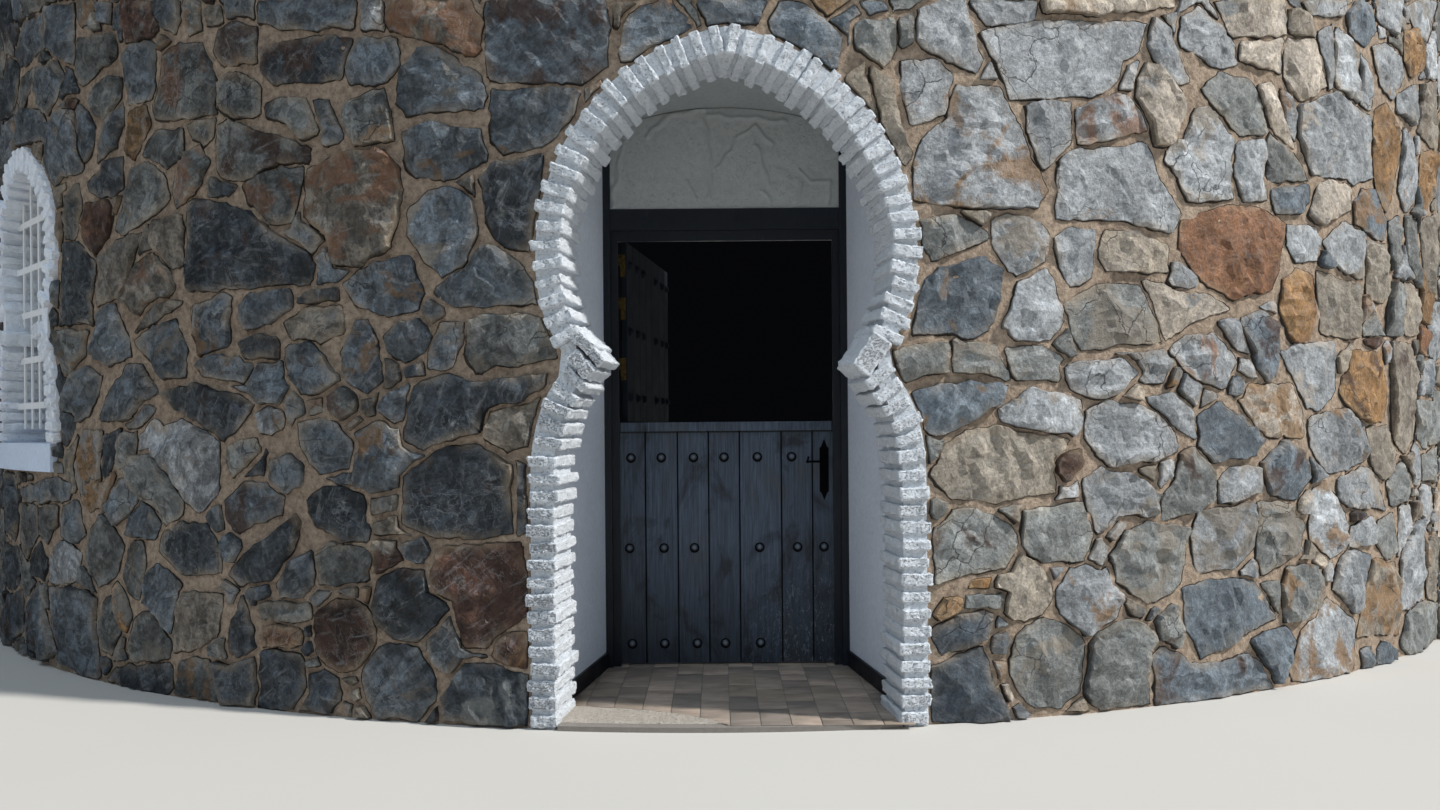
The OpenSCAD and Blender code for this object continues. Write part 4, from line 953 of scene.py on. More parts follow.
def traced(mask):  # largest outline round the marked cells, in cells
    solid = np.pad(mask, 1)
    inner = solid[1:-1, 1:-1]
    links = {}
    for other, (a, b) in ((solid[1:-1, :-2], ((0, 0), (1, 0))), (solid[2:, 1:-1], ((1, 0), (1, 1))),
                          (solid[1:-1, 2:], ((1, 1), (0, 1))), (solid[:-2, 1:-1], ((0, 1), (0, 0)))):
        for i, j in np.argwhere(inner & ~other):
            links.setdefault((i + a[0], j + a[1]), []).append((i + b[0], j + b[1]))
    best, bestArea = None, 0
    while links:
        start = next(iter(links))
        loop, here = [], start
        while here in links:
            loop.append(here)
            nexts = links[here]
            onward = nexts.pop()
            if not nexts:
                del links[here]
            here = onward
        outline = np.array(loop, float)
        if len(outline) > 5 and areaOf(outline) > bestArea:
            best, bestArea = outline, areaOf(outline)
    if best is None:
        return None
    middle = (best + np.roll(best, -1, 0)) / 2
    return (np.roll(middle, 1, 0) + middle + np.roll(middle, -1, 0)) / 3


def simplified(outline, slack):  # keeps the corners that matter
    first = int(np.argmax(((outline - outline.mean(0)) ** 2).sum(1)))
    ring = np.roll(outline, -first, 0)
    far = int(np.argmax(((ring - ring[0]) ** 2).sum(1)))
    closed = np.vstack([ring, ring[:1]])
    keep, stack = {0, far}, [(0, far), (far, len(ring))]
    while stack:
        a, b = stack.pop()
        if b - a < 2:
            continue
        run = closed[b] - closed[a]
        part = closed[a + 1:b] - closed[a]
        off = np.abs(part[:, 0] * run[1] - part[:, 1] * run[0]) / max(float(np.hypot(*run)), 1e-9)
        if off.max() > slack:
            cut = a + 1 + int(off.argmax())
            keep.add(cut)
            stack += [(a, cut), (cut, b)]
    return ring[sorted(keep)]


def layOutStones(seen, rng):  # divides the wall's face among stones and joints
    work, cell = stoneWork, stoneWork["cell"]
    edge = math.radians(tower["sweep"]) * tower["radius"]
    shape = (int(2 * edge / cell), int(wallTop / cell))
    gridU, gridZ = np.meshgrid(-edge + (np.arange(shape[0]) + 0.5) * cell, (np.arange(shape[1]) + 0.5) * cell,
                               indexing="ij")
    gridU = gridU + softField(shape, work["wobbleGrid"], rng) * work["wobble"]
    gridZ = gridZ + softField(shape, work["wobbleGrid"], rng) * work["wobble"]

    def windowOf(low, high):
        i0, j0 = int((low[0] + edge) / cell), int(low[1] / cell)
        i1, j1 = int((high[0] + edge) / cell) + 1, int(high[1] / cell) + 1
        return slice(max(i0, 0), min(i1, shape[0])), slice(max(j0, 0), min(j1, shape[1]))

    def windowRound(outline, margin):
        return windowOf(outline.min(0) - margin, outline.max(0) + margin)

    def gapIn(win, outline):
        spots = np.stack([gridU[win].ravel(), gridZ[win].ravel()], 1)
        return gapTo(outline, spots).reshape(gridU[win].shape)

    clear = np.full(shape, 9.0)
    for outline in keepOut:
        win = windowRound(outline, 0.2)
        clear[win] = np.minimum(clear[win], gapIn(win, outline))
    for gap in (gridZ - work["footClear"], wallTop - work["topClear"] - gridZ,
                edge - work["endClear"] - np.abs(gridU)):
        clear = np.minimum(clear, gap + work["clearOfBrick"])
    near, second, owner = np.full(shape, 9.0), np.full(shape, 9.0), np.full(shape, -1)
    for index, (_, outline) in enumerate(seen):
        win = windowRound(outline, 0.12)
        gap = gapIn(win, outline)
        closer = gap < near[win]
        second[win] = np.where(closer, near[win], np.minimum(second[win], gap))
        owner[win] = np.where(closer, index, owner[win])
        near[win] = np.where(closer, gap, near[win])
    kept = (near <= work["grow"]) & (second - near >= work["seenJoint"]) & (clear >= work["clearOfBrick"])
    made = []

    def harvest(win, mask, letters, slack):
        outline = traced(mask)
        if outline is None or areaOf(outline) * cell * cell < work["least"]:
            return
        outline = (outline + (win[0].start, win[1].start)) * cell - (edge, 0)
        outline = simplified(outline, slack)
        if len(outline) > 2:
            made.append((letters or toneFor(outline, rng), outline))

    for index, (letters, outline) in enumerate(seen):
        win = windowRound(outline, 0.02)
        harvest(win, kept[win] & (owner[win] == index), letters, work["simple"])
    seenCount = len(made)
    free = (near >= work["grow"] + work["joint"]) & (clear >= work["clearOfBrick"] + 0.004)
    room = np.minimum(near - work["grow"] - work["joint"], clear - work["clearOfBrick"])
    openCells = np.argwhere(free)
    seeds = np.zeros((0, 3))
    for size in work["fillSizes"]:
        for _ in range(work["fillTries"]):
            i, j = openCells[rng.randrange(len(openCells))]
            r = size * rng.uniform(*work["fillVary"])
            if room[i, j] < work["fillRoom"] * r:
                continue
            u, z = gridU[i, j], gridZ[i, j]
            apart = np.hypot(seeds[:, 0] - u, seeds[:, 1] - z)
            if (apart >= work["fillApart"] * (seeds[:, 2] + r)).all():
                seeds = np.vstack([seeds, (u, z, r)])
    for turn in range(work["fillRounds"]):
        power, rest = np.full(shape, 9.0), np.full(shape, 9.0)
        mine, other = np.full(shape, -1), np.full(shape, -1)
        for k, (u, z, r) in enumerate(seeds):
            win = windowRound(np.array([(u, z)]), work["fillReach"] * r)
            p = (gridU[win] - u) ** 2 + (gridZ[win] - z) ** 2 - r * r
            closer = p < power[win]
            beaten = ~closer & (p < rest[win])
            rest[win] = np.where(closer, power[win], np.where(beaten, p, rest[win]))
            other[win] = np.where(closer, mine[win], np.where(beaten, k, other[win]))
            power[win] = np.where(closer, p, power[win])
            mine[win] = np.where(closer, k, mine[win])
        apart = np.hypot(*(seeds[mine, :2] - seeds[other, :2]).transpose(2, 0, 1))
        gap = np.where(other < 0, 9.0, (rest - power) / (2 * np.maximum(apart, 1e-6)))
        kept = free & (mine >= 0) & (gap >= work["joint"] / 2) & (power < work["fillMost"] * seeds[mine, 2] ** 2)
        if turn < work["fillRounds"] - 1:
            count = np.bincount(mine[kept], minlength=len(seeds))
            for axis, grid in ((0, gridU), (1, gridZ)):
                total = np.bincount(mine[kept], grid[kept], minlength=len(seeds))
                seeds[:, axis] = np.where(count > 0, total / np.maximum(count, 1), seeds[:, axis])
    for k, (u, z, r) in enumerate(seeds):
        win = windowRound(np.array([(u, z)]), (work["fillReach"] + 0.2) * r)
        harvest(win, kept[win] & (mine[win] == k), None, work["fillSimple"])
    print("stage: wall laid out,", len(seen), "stones read and", len(seeds), "filled in")
    return made, seenCount


def toneFor(outline, rng):
    u = outline[:, 0].mean()
    share = min(max(u / stoneWork["tonesTurn"] * 0.5 + 0.5, 0), 1)
    names = stoneWork["rightTones"] if rng.random() < share else stoneWork["leftTones"]
    return rng.choice(names.split())


def keptOnWall(points):  # nothing of a stone passes the foot, the top or the ends of the wall
    edge = math.radians(tower["sweep"]) * tower["radius"] - 0.001
    return np.stack([np.clip(points[:, 0], -edge, edge), np.clip(points[:, 1], 0.001, wallTop - 0.001)], 1)


def roughOutline(outline, rng):  # corners knocked off and sides broken
    points = []
    count = len(outline)
    size, start = math.sqrt(abs(areaOf(outline))) / 2, rng.uniform(0, 90)
    for i in range(count):
        a, b = outline[i], outline[(i + 1) % count]
        run = b - a
        long = float(np.linalg.norm(run))
        if long < 1e-5:
            continue
        across = np.array((run[1], -run[0])) / long
        cut = min(stoneWork["cornerCut"] * rng.uniform(0.3, 1.0), long * stoneWork["cornerShare"])
        steps = max(1, round((long - 2 * cut) / stoneWork["edgeStep"]))
        bow = rng.uniform(*stoneWork["bow"]) * min(long / 0.15, 1.5)
        wave = stoneWork["edgeWave"] * min(size / 0.10, 1.0)
        for s in range(steps + 1):
            t = (cut + (long - 2 * cut) * s / steps) / long
            here = a + run * t
            off = bow * math.sin(math.pi * t) + rng.uniform(-1, 1) * stoneWork["edgeJitter"]
            off += wave * noiseAt(*here, stoneWork["waveScale"], start)
            points.append(here + across * off)
    return keptOnWall(pushedClear(np.array(points), stoneWork["clearOfBrick"]))


def stoneHeights(points, centre, size, relief, rng):  # a tilted face broken by a few planes
    work, away = stoneWork, points - centre
    tilt = np.array([rng.uniform(-1, 1), rng.uniform(-1, 1)]) * work["tilt"]
    top = relief + away @ tilt
    for _ in range(rng.randint(*work["planes"])):
        a = rng.uniform(0, math.tau)
        slope, start = rng.uniform(*work["slopes"]), rng.uniform(*work["planeStarts"]) * size
        top = np.minimum(top, relief + slope * (start - away @ np.array((math.cos(a), math.sin(a)))))
    lie, start = rng.uniform(0, math.pi), rng.uniform(0, 90)
    along = away @ np.array((math.cos(lie), math.sin(lie)))
    over = away @ np.array((-math.sin(lie), math.cos(lie)))
    share = min(size / 0.12, 1.0)
    for i, (a, b) in enumerate(zip(along, over)):
        top[i] += share * work["ridges"] * (work["ridgeMiddle"] - abs(noiseAt(a, b, work["ridgeScale"], start)))
        top[i] += share * work["flakes"] * noiseAt(a, b, work["flakeScale"], start + 7)
    return np.clip(top, work["lowest"], work["highest"])


def buildStone(outline, rng):  # points as (u, z, out), faces, and how far each point is from the stone's edge
    work, base = stoneWork, roughOutline(outline, rng)
    if areaOf(base) < work["leastRough"]:
        return None
    centre = base.mean(0)
    size = math.sqrt(abs(areaOf(base))) / 2
    bevel = min(work["bevel"], size * 0.25)
    shoulder, crown = drawnIn(base, bevel * 0.25), drawnIn(base, bevel)
    step = work["faceStep"]
    low, high = crown.min(0), crown.max(0)
    across = np.arange(low[0] + step / 2, high[0], step)
    up = np.arange(low[1] + step / 2, high[1], step * 0.87)
    grid = np.array([(x + (row % 2) * step / 2, z) for row, z in enumerate(up) for x in across]).reshape(-1, 2)
    grid += np.array([[rng.uniform(-1, 1), rng.uniform(-1, 1)] for _ in grid]).reshape(-1, 2) * step * 0.28
    if len(grid):
        grid = grid[insideOf(grid, crown)]
    if len(grid):
        grid = grid[nearestOn(grid, crown)[1] > step * 0.38]
    flat = np.concatenate([crown, grid]) if len(grid) else crown
    relief = rng.uniform(*work["relief"])
    verts, _, tris, origins, _, _ = geometry.delaunay_2d_cdt(
        [Vector(p) for p in flat], [], [list(range(len(crown)))], 1, 1e-6)
    faceAt = np.array([(v.x, v.y) for v in verts])
    heights = stoneHeights(faceAt, centre, size, relief, rng)
    heights += np.array([rng.uniform(-1, 1) for _ in heights]) * work["faceNoise"]
    lookup = {}
    for index, sources in enumerate(origins):
        for source in sources:
            lookup[source] = index
    if any(i not in lookup for i in range(len(crown))):
        return None
    rimTop = [lookup[i] for i in range(len(crown))]
    heights[rimTop] *= np.array([rng.uniform(0.84, 1.0) for _ in rimTop])
    count, total = len(crown), len(faceAt)
    points = [(p[0], p[1], h) for p, h in zip(faceAt, heights)]
    points += [(p[0], p[1], heights[i] * rng.uniform(0.5, 0.75)) for p, i in zip(shoulder, rimTop)]
    points += [(p[0], p[1], work["sunk"]) for p in base]
    faces = [tuple(f) for f in tris]
    sides = [(i, (i + 1) % count) for i in range(count)]
    for i, j in sides:
        faces.append((rimTop[j], rimTop[i], total + i, total + j))
        faces.append((total + j, total + i, total + count + i, total + count + j))
    out = base - np.roll(base, -1, 0)
    out = out + np.roll(out, 1, 0)
    out = np.stack([-out[:, 1], out[:, 0]], 1)
    out /= np.maximum(np.linalg.norm(out, axis=1), 1e-9)[:, None]
    # painted shadow: the crevice ring is widest on the side away from the light
    inShade = out @ np.array(work["shadeSide"])
    (least, more), (usual, vary) = work["creviceShadow"], work["patchy"]
    start = rng.uniform(0, 90)
    patchy = np.array([usual + vary * noiseAt(*p, work["patchScale"], start) for p in base])
    wide = (least + more * np.maximum(inShade, 0)) * np.clip(patchy, 0.0, work["patchMost"])
    edge = keptOnWall(pushedClear(base + out * wide[:, None], 0.002))
    points += [(p[0], p[1], work["creviceTop"]) for p in base]
    points += [(p[0], p[1], work["creviceFoot"]) for p in edge]
    ring = total + 2 * count
    faces += [(ring + j, ring + i, ring + count + i, ring + count + j) for i, j in sides]
    inward = np.minimum(nearestOn(faceAt, base)[1] / work["rimReach"], 1.0)
    # painted shade: sides facing away from the light get a low rim value and are painted darker; the crevice ring
    # gets -1 and is painted near black
    middle, turned, most = work["sideRim"]
    sideRim = np.clip(middle - turned * inShade, 0.0, most)
    rim = np.concatenate([inward, sideRim, sideRim, -np.ones(2 * count)])
    return np.array(points), faces, rim


def bendOnWall(points):  # (arc length, height, distance in front of the wall body) to the tower
    angle = points[:, 0] / tower["radius"]
    r = bodyRadius + points[:, 2]
    return np.stack([r * np.sin(angle), tower["axisY"] - r * np.cos(angle), points[:, 1]], 1)


def stoneColours(letters, across, seen, rng):  # a stone's tone with its seed, and its stain with its amount
    work, read = stoneWork, len(letters) > 1
    # painted shade: stones and their stains are painted darker to the left of the doorway, by position and by tone
    lift = rng.uniform(*work["spreadOfLift"][seen])
    lift *= float(np.interp(across, work["liftWhere"], work["lift"]))
    cut = float(np.interp(across, work["cutWhere"], (work["shadeCut"].get(letters[0], 1.0), 1.0)))
    usual = work["usualStains"].get(letters[0], work["otherStains"])
    stain = letters[1] if read else rng.choice(usual)
    amount = rng.uniform(*work["stained"][read]) - float(np.interp(across, *work["lessStained"]))
    tone = [v * lift * cut for v in srgb(*stoneTones[letters[0]])[:3]]
    patch = [v * min(lift, 1.0) for v in srgb(*stoneTones[stain])[:3]]
    return (*tone, rng.random()), (*patch, amount)


def layStones():
    rng = random.Random(7)
    everything, seenCount = layOutStones(readStones(), rng)
    triangles = 0
    for name, (start, end) in sectors.items():
        points, faces, tones, patches, rims = [], [], [], [], []
        for place, (letters, outline) in enumerate(everything):
            across = outline[:, 0].mean()
            if not start <= across < end:
                continue
            stone = buildStone(outline, rng)
            if stone is None:
                continue
            verts, polys, rim = stone
            first = len(points)
            points.extend(verts)
            faces.extend(tuple(first + i for i in f) for f in polys)
            tone, patch = stoneColours(letters, across, place < seenCount, rng)
            tones.extend([tone] * len(verts))
            patches.extend([patch] * len(verts))
            rims.extend(rim)
        piece = meshPiece(name, bendOnWall(np.array(points)), faces)
        for label, values in (("tone", tones), ("patch", patches)):
            layer = piece.data.color_attributes.new(label, "FLOAT_COLOR", "POINT")
            layer.data.foreach_set("color", np.array(values, np.float32).ravel())
        layer = piece.data.attributes.new("rim", "FLOAT", "POINT")
        layer.data.foreach_set("value", np.array(rims, np.float32))
        finishPiece(piece, looks["stone"], "root", 16)
        triangles += sum(len(f) - 2 for f in faces)
    print("stage: stones laid,", len(everything), "stones,", triangles, "triangles")


def spreadMortar():  # lumpy joints between the stones
    bed = {"step": 0.026, "base": 0.004, "lumps": 0.009, "lumpScale": (11, 11), "fine": 0.006,
           "fineScale": (37, 37), "least": 0.0006, "underBrick": 0.04}
    edge = math.radians(tower["sweep"]) * tower["radius"]
    columns = int(2 * edge / bed["step"])
    rows = int(wallTop / bed["step"])
    u = np.linspace(-edge + 0.001, edge - 0.001, columns + 1)
    z = np.linspace(0.0, wallTop - 0.001, rows + 1)
    gridU, gridZ = np.meshgrid(u, z, indexing="ij")
    flat = np.stack([gridU.ravel(), gridZ.ravel()], 1)
    hidden = np.zeros(len(flat), bool)
    for shape, centre in ((doorway, 0.0), (window, windowCentre)):
        hidden |= insideOf(flat, closedKeyhole(shape, centre, bed["underBrick"]))
    out = np.array([bed["base"] + bed["lumps"] * noiseAt(a, b, bed["lumpScale"], 3.1)
                    + bed["fine"] * noiseAt(a, b, bed["fineScale"], 7.7) for a, b in flat])
    points = bendOnWall(np.stack([flat[:, 0], flat[:, 1], np.maximum(out, bed["least"])], 1))
    faces = []
    for i in range(columns):
        for j in range(rows):
            first, second = i * (rows + 1) + j, (i + 1) * (rows + 1) + j
            quad = (first, second, second + 1, first + 1)
            if not any(hidden[k] for k in quad):
                faces.append(quad)
    used = sorted({k for f in faces for k in f})
    renumber = {k: n for n, k in enumerate(used)}
    piece = meshPiece("mortar_joints", points[used], [tuple(renumber[k] for k in f) for f in faces])
    finishPiece(piece, looks["mortar"], "root", 60)
    print("stage: mortar spread,", 2 * len(faces), "triangles")


layStones()
spreadMortar()


# Rough bricks of the two rings
brickWork = {"wide": 0.117, "deep": 0.285, "high": 0.042, "kinds": 10, "cuts": (12, 14, 5), "round": 0.006,
             "jitter": 0.0021, "lumps": (0.05, 0.014), "pits": (0.013, 0.009),  # sizes and strengths
             "raggedEnd": 0.010, "lean": 2.2, "standOut": (-0.007, 0.005), "longer": (0.92, 1.09),
             "higher": (0.86, 1.16), "cuspHigh": 1.18, "droop": 11.0, "droopAt": -9, "droopWide": 18,
             "coreBack": {"left": 0.024, "right": 0.017}, "coreIn": {"left": 0.015, "right": 0.013},
             "coreOut": 0.006, "teeth": 0.028,  # how far the brick ends stand behind their joint
             "bareShare": {"left": 1.0, "right": 0.6}, "bareAbove": 0.3, "bareSpread": (0.4, 1.2)}
# Bricks of the lower lobe from the jamb to the cusp, read off: across, height and lean
lobeBricks = {
    "left": ((0.723, 1.052, 2), (0.712, 1.127, 12), (0.696, 1.196, 21), (0.675, 1.260, 26), (0.647, 1.316, 35),
             (0.606, 1.376, 46)),
    "right": ((0.726, 1.062, 7), (0.711, 1.130, 14), (0.695, 1.194, 24), (0.668, 1.257, 24), (0.636, 1.318, 32),
              (0.606, 1.378, 40)),
}
# Blocks at the tips of the cusps: across, height, lean and size
tipBlocks = {"left": ((0.535, 1.486, 50.0, (1.20, 0.95)), (0.569, 1.432, 50.0, (0.98, 1.40)),
                      (0.566, 1.522, 40.0, (1.0, 1.1))),
             "right": ((0.562, 1.462, 55.0, (1.34, 2.15)),),
             "window": ((0.325, 1.700, 10.0, (1.1, 1.6)),)}
highBricks = {"left": 21, "right": 23}


def displaced(piece, name):
    size, strength = brickWork[name]
    modifier = piece.modifiers.new(name, "DISPLACE")
    modifier.texture = bpy.data.textures.new(name, "CLOUDS")
    modifier.texture.noise_scale = size
    modifier.texture_coords = "GLOBAL"
    modifier.strength = strength
    modifier.mid_level = 0.5


def roughBrick(kind):  # crisp edges, broken faces; the front face shows more bare brick than the rest
    size = (brickWork["wide"], brickWork["deep"], brickWork["high"])
    middle = (kind * 1.37, 0.4, 0.2)  # every kind has its own place in the clouds that shape it
    deselectAll()
    bpy.ops.mesh.primitive_cube_add(size=1, location=middle)
    brick = bpy.context.object
    bpy.ops.object.mode_set(mode="EDIT")
    bpy.ops.transform.resize(value=size)
    bpy.ops.mesh.bevel(offset=brickWork["round"], segments=2)
    for axis, count in enumerate(brickWork["cuts"]):
        for cut in range(1, count):
            at, way = list(middle), [0, 0, 0]
            at[axis] += (cut / count - 0.5) * size[axis]
            way[axis] = 1
            bpy.ops.mesh.select_all(action="SELECT")
            bpy.ops.mesh.bisect(plane_co=at, plane_no=way)
    bpy.ops.mesh.select_all(action="SELECT")
    bpy.ops.transform.vertex_random(offset=brickWork["jitter"], seed=kind + 1)
    bpy.ops.object.mode_set(mode="OBJECT")
    bare = brick.data.attributes.new("bare", "FLOAT", "POINT")
    for vertex, value in zip(brick.data.vertices, bare.data):
        x, y, z = (v / s for v, s in zip(vertex.co, size))
        value.value = 1.0 if y < -0.47 and max(abs(x), abs(z)) < 0.45 else 0.0
    displaced(brick, "lumps")
    displaced(brick, "pits")
    applyModifiers(brick)
    bpy.ops.object.transform_apply(location=False, rotation=False, scale=True)
    brick.data.transform(Matrix.Translation(-sum((Vector(c) for c in brick.bound_box), Vector()) / 8))
    brick.matrix_world = Matrix.Identity(4)
    return brick


def onTower(turn):
    return Matrix.Translation((0, tower["axisY"], 0)) @ Matrix.Rotation(math.radians(turn), 4, "Z")


def faceY(x, radius):  # local depth of the tower's face at a distance across
    return -math.sqrt(radius * radius - x * x)


def placeBrick(kinds, turn, x, z, lean, size, out, rng, bare=1.0):
    source = rng.choice(kinds)
    copy = source.copy()
    copy.data = source.data.copy()
    for value in copy.data.attributes["bare"].data:
        value.value *= bare
    scene.collection.objects.link(copy)
    radius = tower["radius"] + tower["brickProud"] + out
    place = Matrix.Translation((x, faceY(x, radius) + brickWork["deep"] / 2, z))
    tilt = Matrix.Rotation(math.radians(-lean), 4, "Y")
    flip = Matrix.Rotation(rng.choice((0, math.pi)), 4, "Y")
    scale = Matrix.Diagonal((size[0], 1, size[1], 1))
    copy.data.transform(onTower(turn) @ place @ tilt @ scale @ flip)
    return copy


def courseStations(shape, label):  # centre and lean of every brick of a right half
    half, face = shape["half"] - shape["face"] / 2, shape["face"]
    jamb = shape["jambTop"] - shape["foot"]
    found = [(half, shape["foot"] + jamb * (i + 0.5) / shape["jambCourses"], 0.0)
             for i in range(shape["jambCourses"])]
    if "lowCourses" in shape:
        first, step, count, fan = shape["lowCourses"]
        for i in range(count):
            a = math.radians(first + step * i)
            found.append((half * math.cos(a), shape["low"] + half * math.sin(a), (first + step * i) * fan))
    else:
        found += lobeBricks[label]
    r = shape["round"] - face / 2
    top = math.degrees(math.acos(shape["across"] / r))
    start, count = shape["highStart"], shape.get("highCourses", highBricks[label])
    for i in range(count):
        a = start + (top - start) * (i + 0.5) / count
        lean = a - brickWork["droop"] * max(0, 1 - abs(a - brickWork["droopAt"]) / brickWork["droopWide"])
        z = shape["high"] + r * math.sin(math.radians(a))
        found.append((r * math.cos(math.radians(a)) - shape["across"] - 0.5 * pinchAt(shape, label, z), z, lean))
    return found


def ringCore(shape, label, turn, side, shift):  # white joint behind the brick faces
    inner = keyholeLine(shape, shape["face"] - brickWork["coreIn"][label])
    outer = outerLine(shape, label, brickWork["coreOut"])
    front = tower["radius"] + tower["brickProud"] - brickWork["coreBack"][label]
    back = tower["radius"] - tower["ringDepth"] + brickWork["teeth"]
    points, faces = [], []
    for (xi, zi), (xo, zo) in zip(inner, outer):
        for x, z, r in ((xo, zo, front), (xi, zi, front), (xi, zi, back), (xo, zo, back)):
            local = side * (x - shift)
            points.append(onTower(turn) @ Vector((local, faceY(local, r), z)))
    for i in range(len(inner) - 1):
        for k in range(4):
            quad = (4 * i + k, 4 * i + (k + 1) % 4, 4 * i + 4 + (k + 1) % 4, 4 * i + 4 + k)
            faces.append(quad if side < 0 else quad[::-1])
    ends = [(0, 1, 2, 3), tuple(4 * (len(inner) - 1) + k for k in (3, 2, 1, 0))]
    faces += ends if side > 0 else [e[::-1] for e in ends]
    return meshPiece("core", points, faces)


def layRing(shape, name, turn, side, shift, kinds, blocks, seed, instead):
    rng = random.Random(seed)
    label = name.split("_")[-1]
    isDoorway = "pinch" in shape
    parts = []
    for x, z, lean in courseStations(shape, label):
        local = side * (x - shift + rng.uniform(-1, 1) * brickWork["raggedEnd"])
        angle = lean + rng.uniform(-1, 1) * brickWork["lean"]
        inCusp = side > 0 and isDoorway and shape["jambTop"] < z < shape["waist"]
        size = (rng.uniform(*brickWork["longer"]),
                rng.uniform(*brickWork["higher"]) * (brickWork["cuspHigh"] if inCusp else 1))
        bare = brickWork["bareShare"][label] * (1 if z < shape["waist"] else brickWork["bareAbove"])
        bare *= rng.uniform(*brickWork["bareSpread"])
        parts.append(placeBrick(kinds, turn, local, z, angle if side > 0 else 180 - angle, size,
                                rng.uniform(*brickWork["standOut"]), rng, bare))
    for x, z, lean, size in blocks:
        local = side * (x - shift)
        parts.append(placeBrick(kinds, turn, local, z, lean if side > 0 else 180 - lean, size, 0.006, rng))
    parts.append(ringCore(shape, label, turn, side, shift))
    piece = joined(parts, name)
    for vertex in piece.data.vertices:
        vertex.co.z = max(vertex.co.z, 0.0005)
    finishPiece(piece, looks["brick" if isDoorway else "window brick"], "root", 30, instead)
    return len(piece.data.polygons)


def layRings():
    kinds = [roughBrick(k) for k in range(brickWork["kinds"])]
    shift = tower["radius"] * math.radians(doorway["turn"])
    total = 0
    for side, label in ((-1, "left"), (1, "right")):
        nodesGone = [f"ring_{part}_{label}" for part in ("jamb", "lower", "cusp", "upper")]
        total += layRing(doorway, f"ring_bricks_{label}", side * doorway["turn"], side, shift, kinds,
                         tipBlocks[label], 31 + side, nodesGone)
    for side, label in ((-1, "left"), (1, "right")):
        nodesGone = ["window_ring"] if side < 0 else ()
        total += layRing(window, f"window_bricks_{label}", tower["windowTurn"], side, 0.0, kinds,
                         tipBlocks["window"], 57 + side, nodesGone)
    for brick in kinds:
        bpy.data.objects.remove(brick)
    print("stage: rings laid,", total, "faces")


layRings()


# Door furniture that the photograph shows as small pieces
studs = {"radius": 0.0185, "rise": 0.017, "washer": 0.0240, "washerThick": 0.004,
         "top": (1.032, (-0.466, -0.318, -0.161, -0.012, 0.151, 0.318)),
         "middle": (0.591, (-0.476, -0.308, -0.159, 0.159, 0.344, 0.4725)),
         "foot": (0.125, (-0.466, -0.308, -0.149, -0.012, 0.160)),
         "upperRows": (1.33, 1.66, 1.99), "upperHinge": (-0.537, 0.053, 0), "upperTurn": 82}


def domedStud(x, z):  # on a black washer, whose black also stands in for the shadow round the stud, painted shade
    deselectAll()
    bpy.ops.mesh.primitive_uv_sphere_add(segments=20, ring_count=12, radius=studs["radius"], location=(0, 0, 0))
    stud = bpy.context.object
    bpy.ops.object.mode_set(mode="EDIT")
    bpy.ops.mesh.bisect(plane_co=(0, 0, 0), plane_no=(0, 1, 0), use_fill=True, clear_outer=True)
    bpy.ops.mesh.select_all(action="SELECT")
    bpy.ops.transform.resize(value=(1, studs["rise"] / studs["radius"], 1))
    bpy.ops.object.mode_set(mode="OBJECT")
    stud.data.transform(Matrix.Translation((0, -studs["washerThick"] * 0.6, 0)))
    layer = stud.data.attributes.new("rubAndHighlight", "FLOAT", "POINT")
    for vertex, value in zip(stud.data.vertices, layer.data):
        # the crown value peaks a little above the dome's middle: rubbed iron and a painted highlight
        away = math.hypot(vertex.co.x, vertex.co.z - studs["radius"] * 0.22) / studs["radius"]
        value.value = max(0.0, 1 - away ** 1.4) ** 1.3
    bpy.ops.mesh.primitive_cylinder_add(vertices=20, radius=studs["washer"], depth=studs["washerThick"],
                                        location=(0, 0, 0), rotation=(math.radians(90), 0, 0))
    washer = bpy.context.object
    bpy.ops.object.transform_apply(location=False, rotation=True, scale=False)
    washer.data.transform(Matrix.Translation((0, -studs["washerThick"] / 2 + 0.0005, 0)))
    stud = joined([stud, washer], "stud")
    stud.data.transform(Matrix.Translation((x, 0, z)))
    return stud


def fitStuds():
    lower = [domedStud(x, z) for z, places in (studs["top"], studs["middle"], studs["foot"]) for x in places]
    finishPiece(joined(lower, "lower_studs"), looks["stud"], "lower_door", 40)
    hinge, turn = Vector(studs["upperHinge"]), Matrix.Rotation(math.radians(studs["upperTurn"]), 4, "Z")
    swing = Matrix.Translation(hinge) @ turn @ Matrix.Translation(-hinge)
    upper = [domedStud(x, z) for z in studs["upperRows"] for x in studs["middle"][1]]
    for stud in upper:
        stud.data.transform(swing)
    # the upper leaf's studs take the boards' painted shade
    finishPiece(joined(upper, "upper_studs"), looks["boards painted in shade"], "upper_door", 40)
    print("stage: studs fitted,", len(lower) + len(upper))


fitStuds()


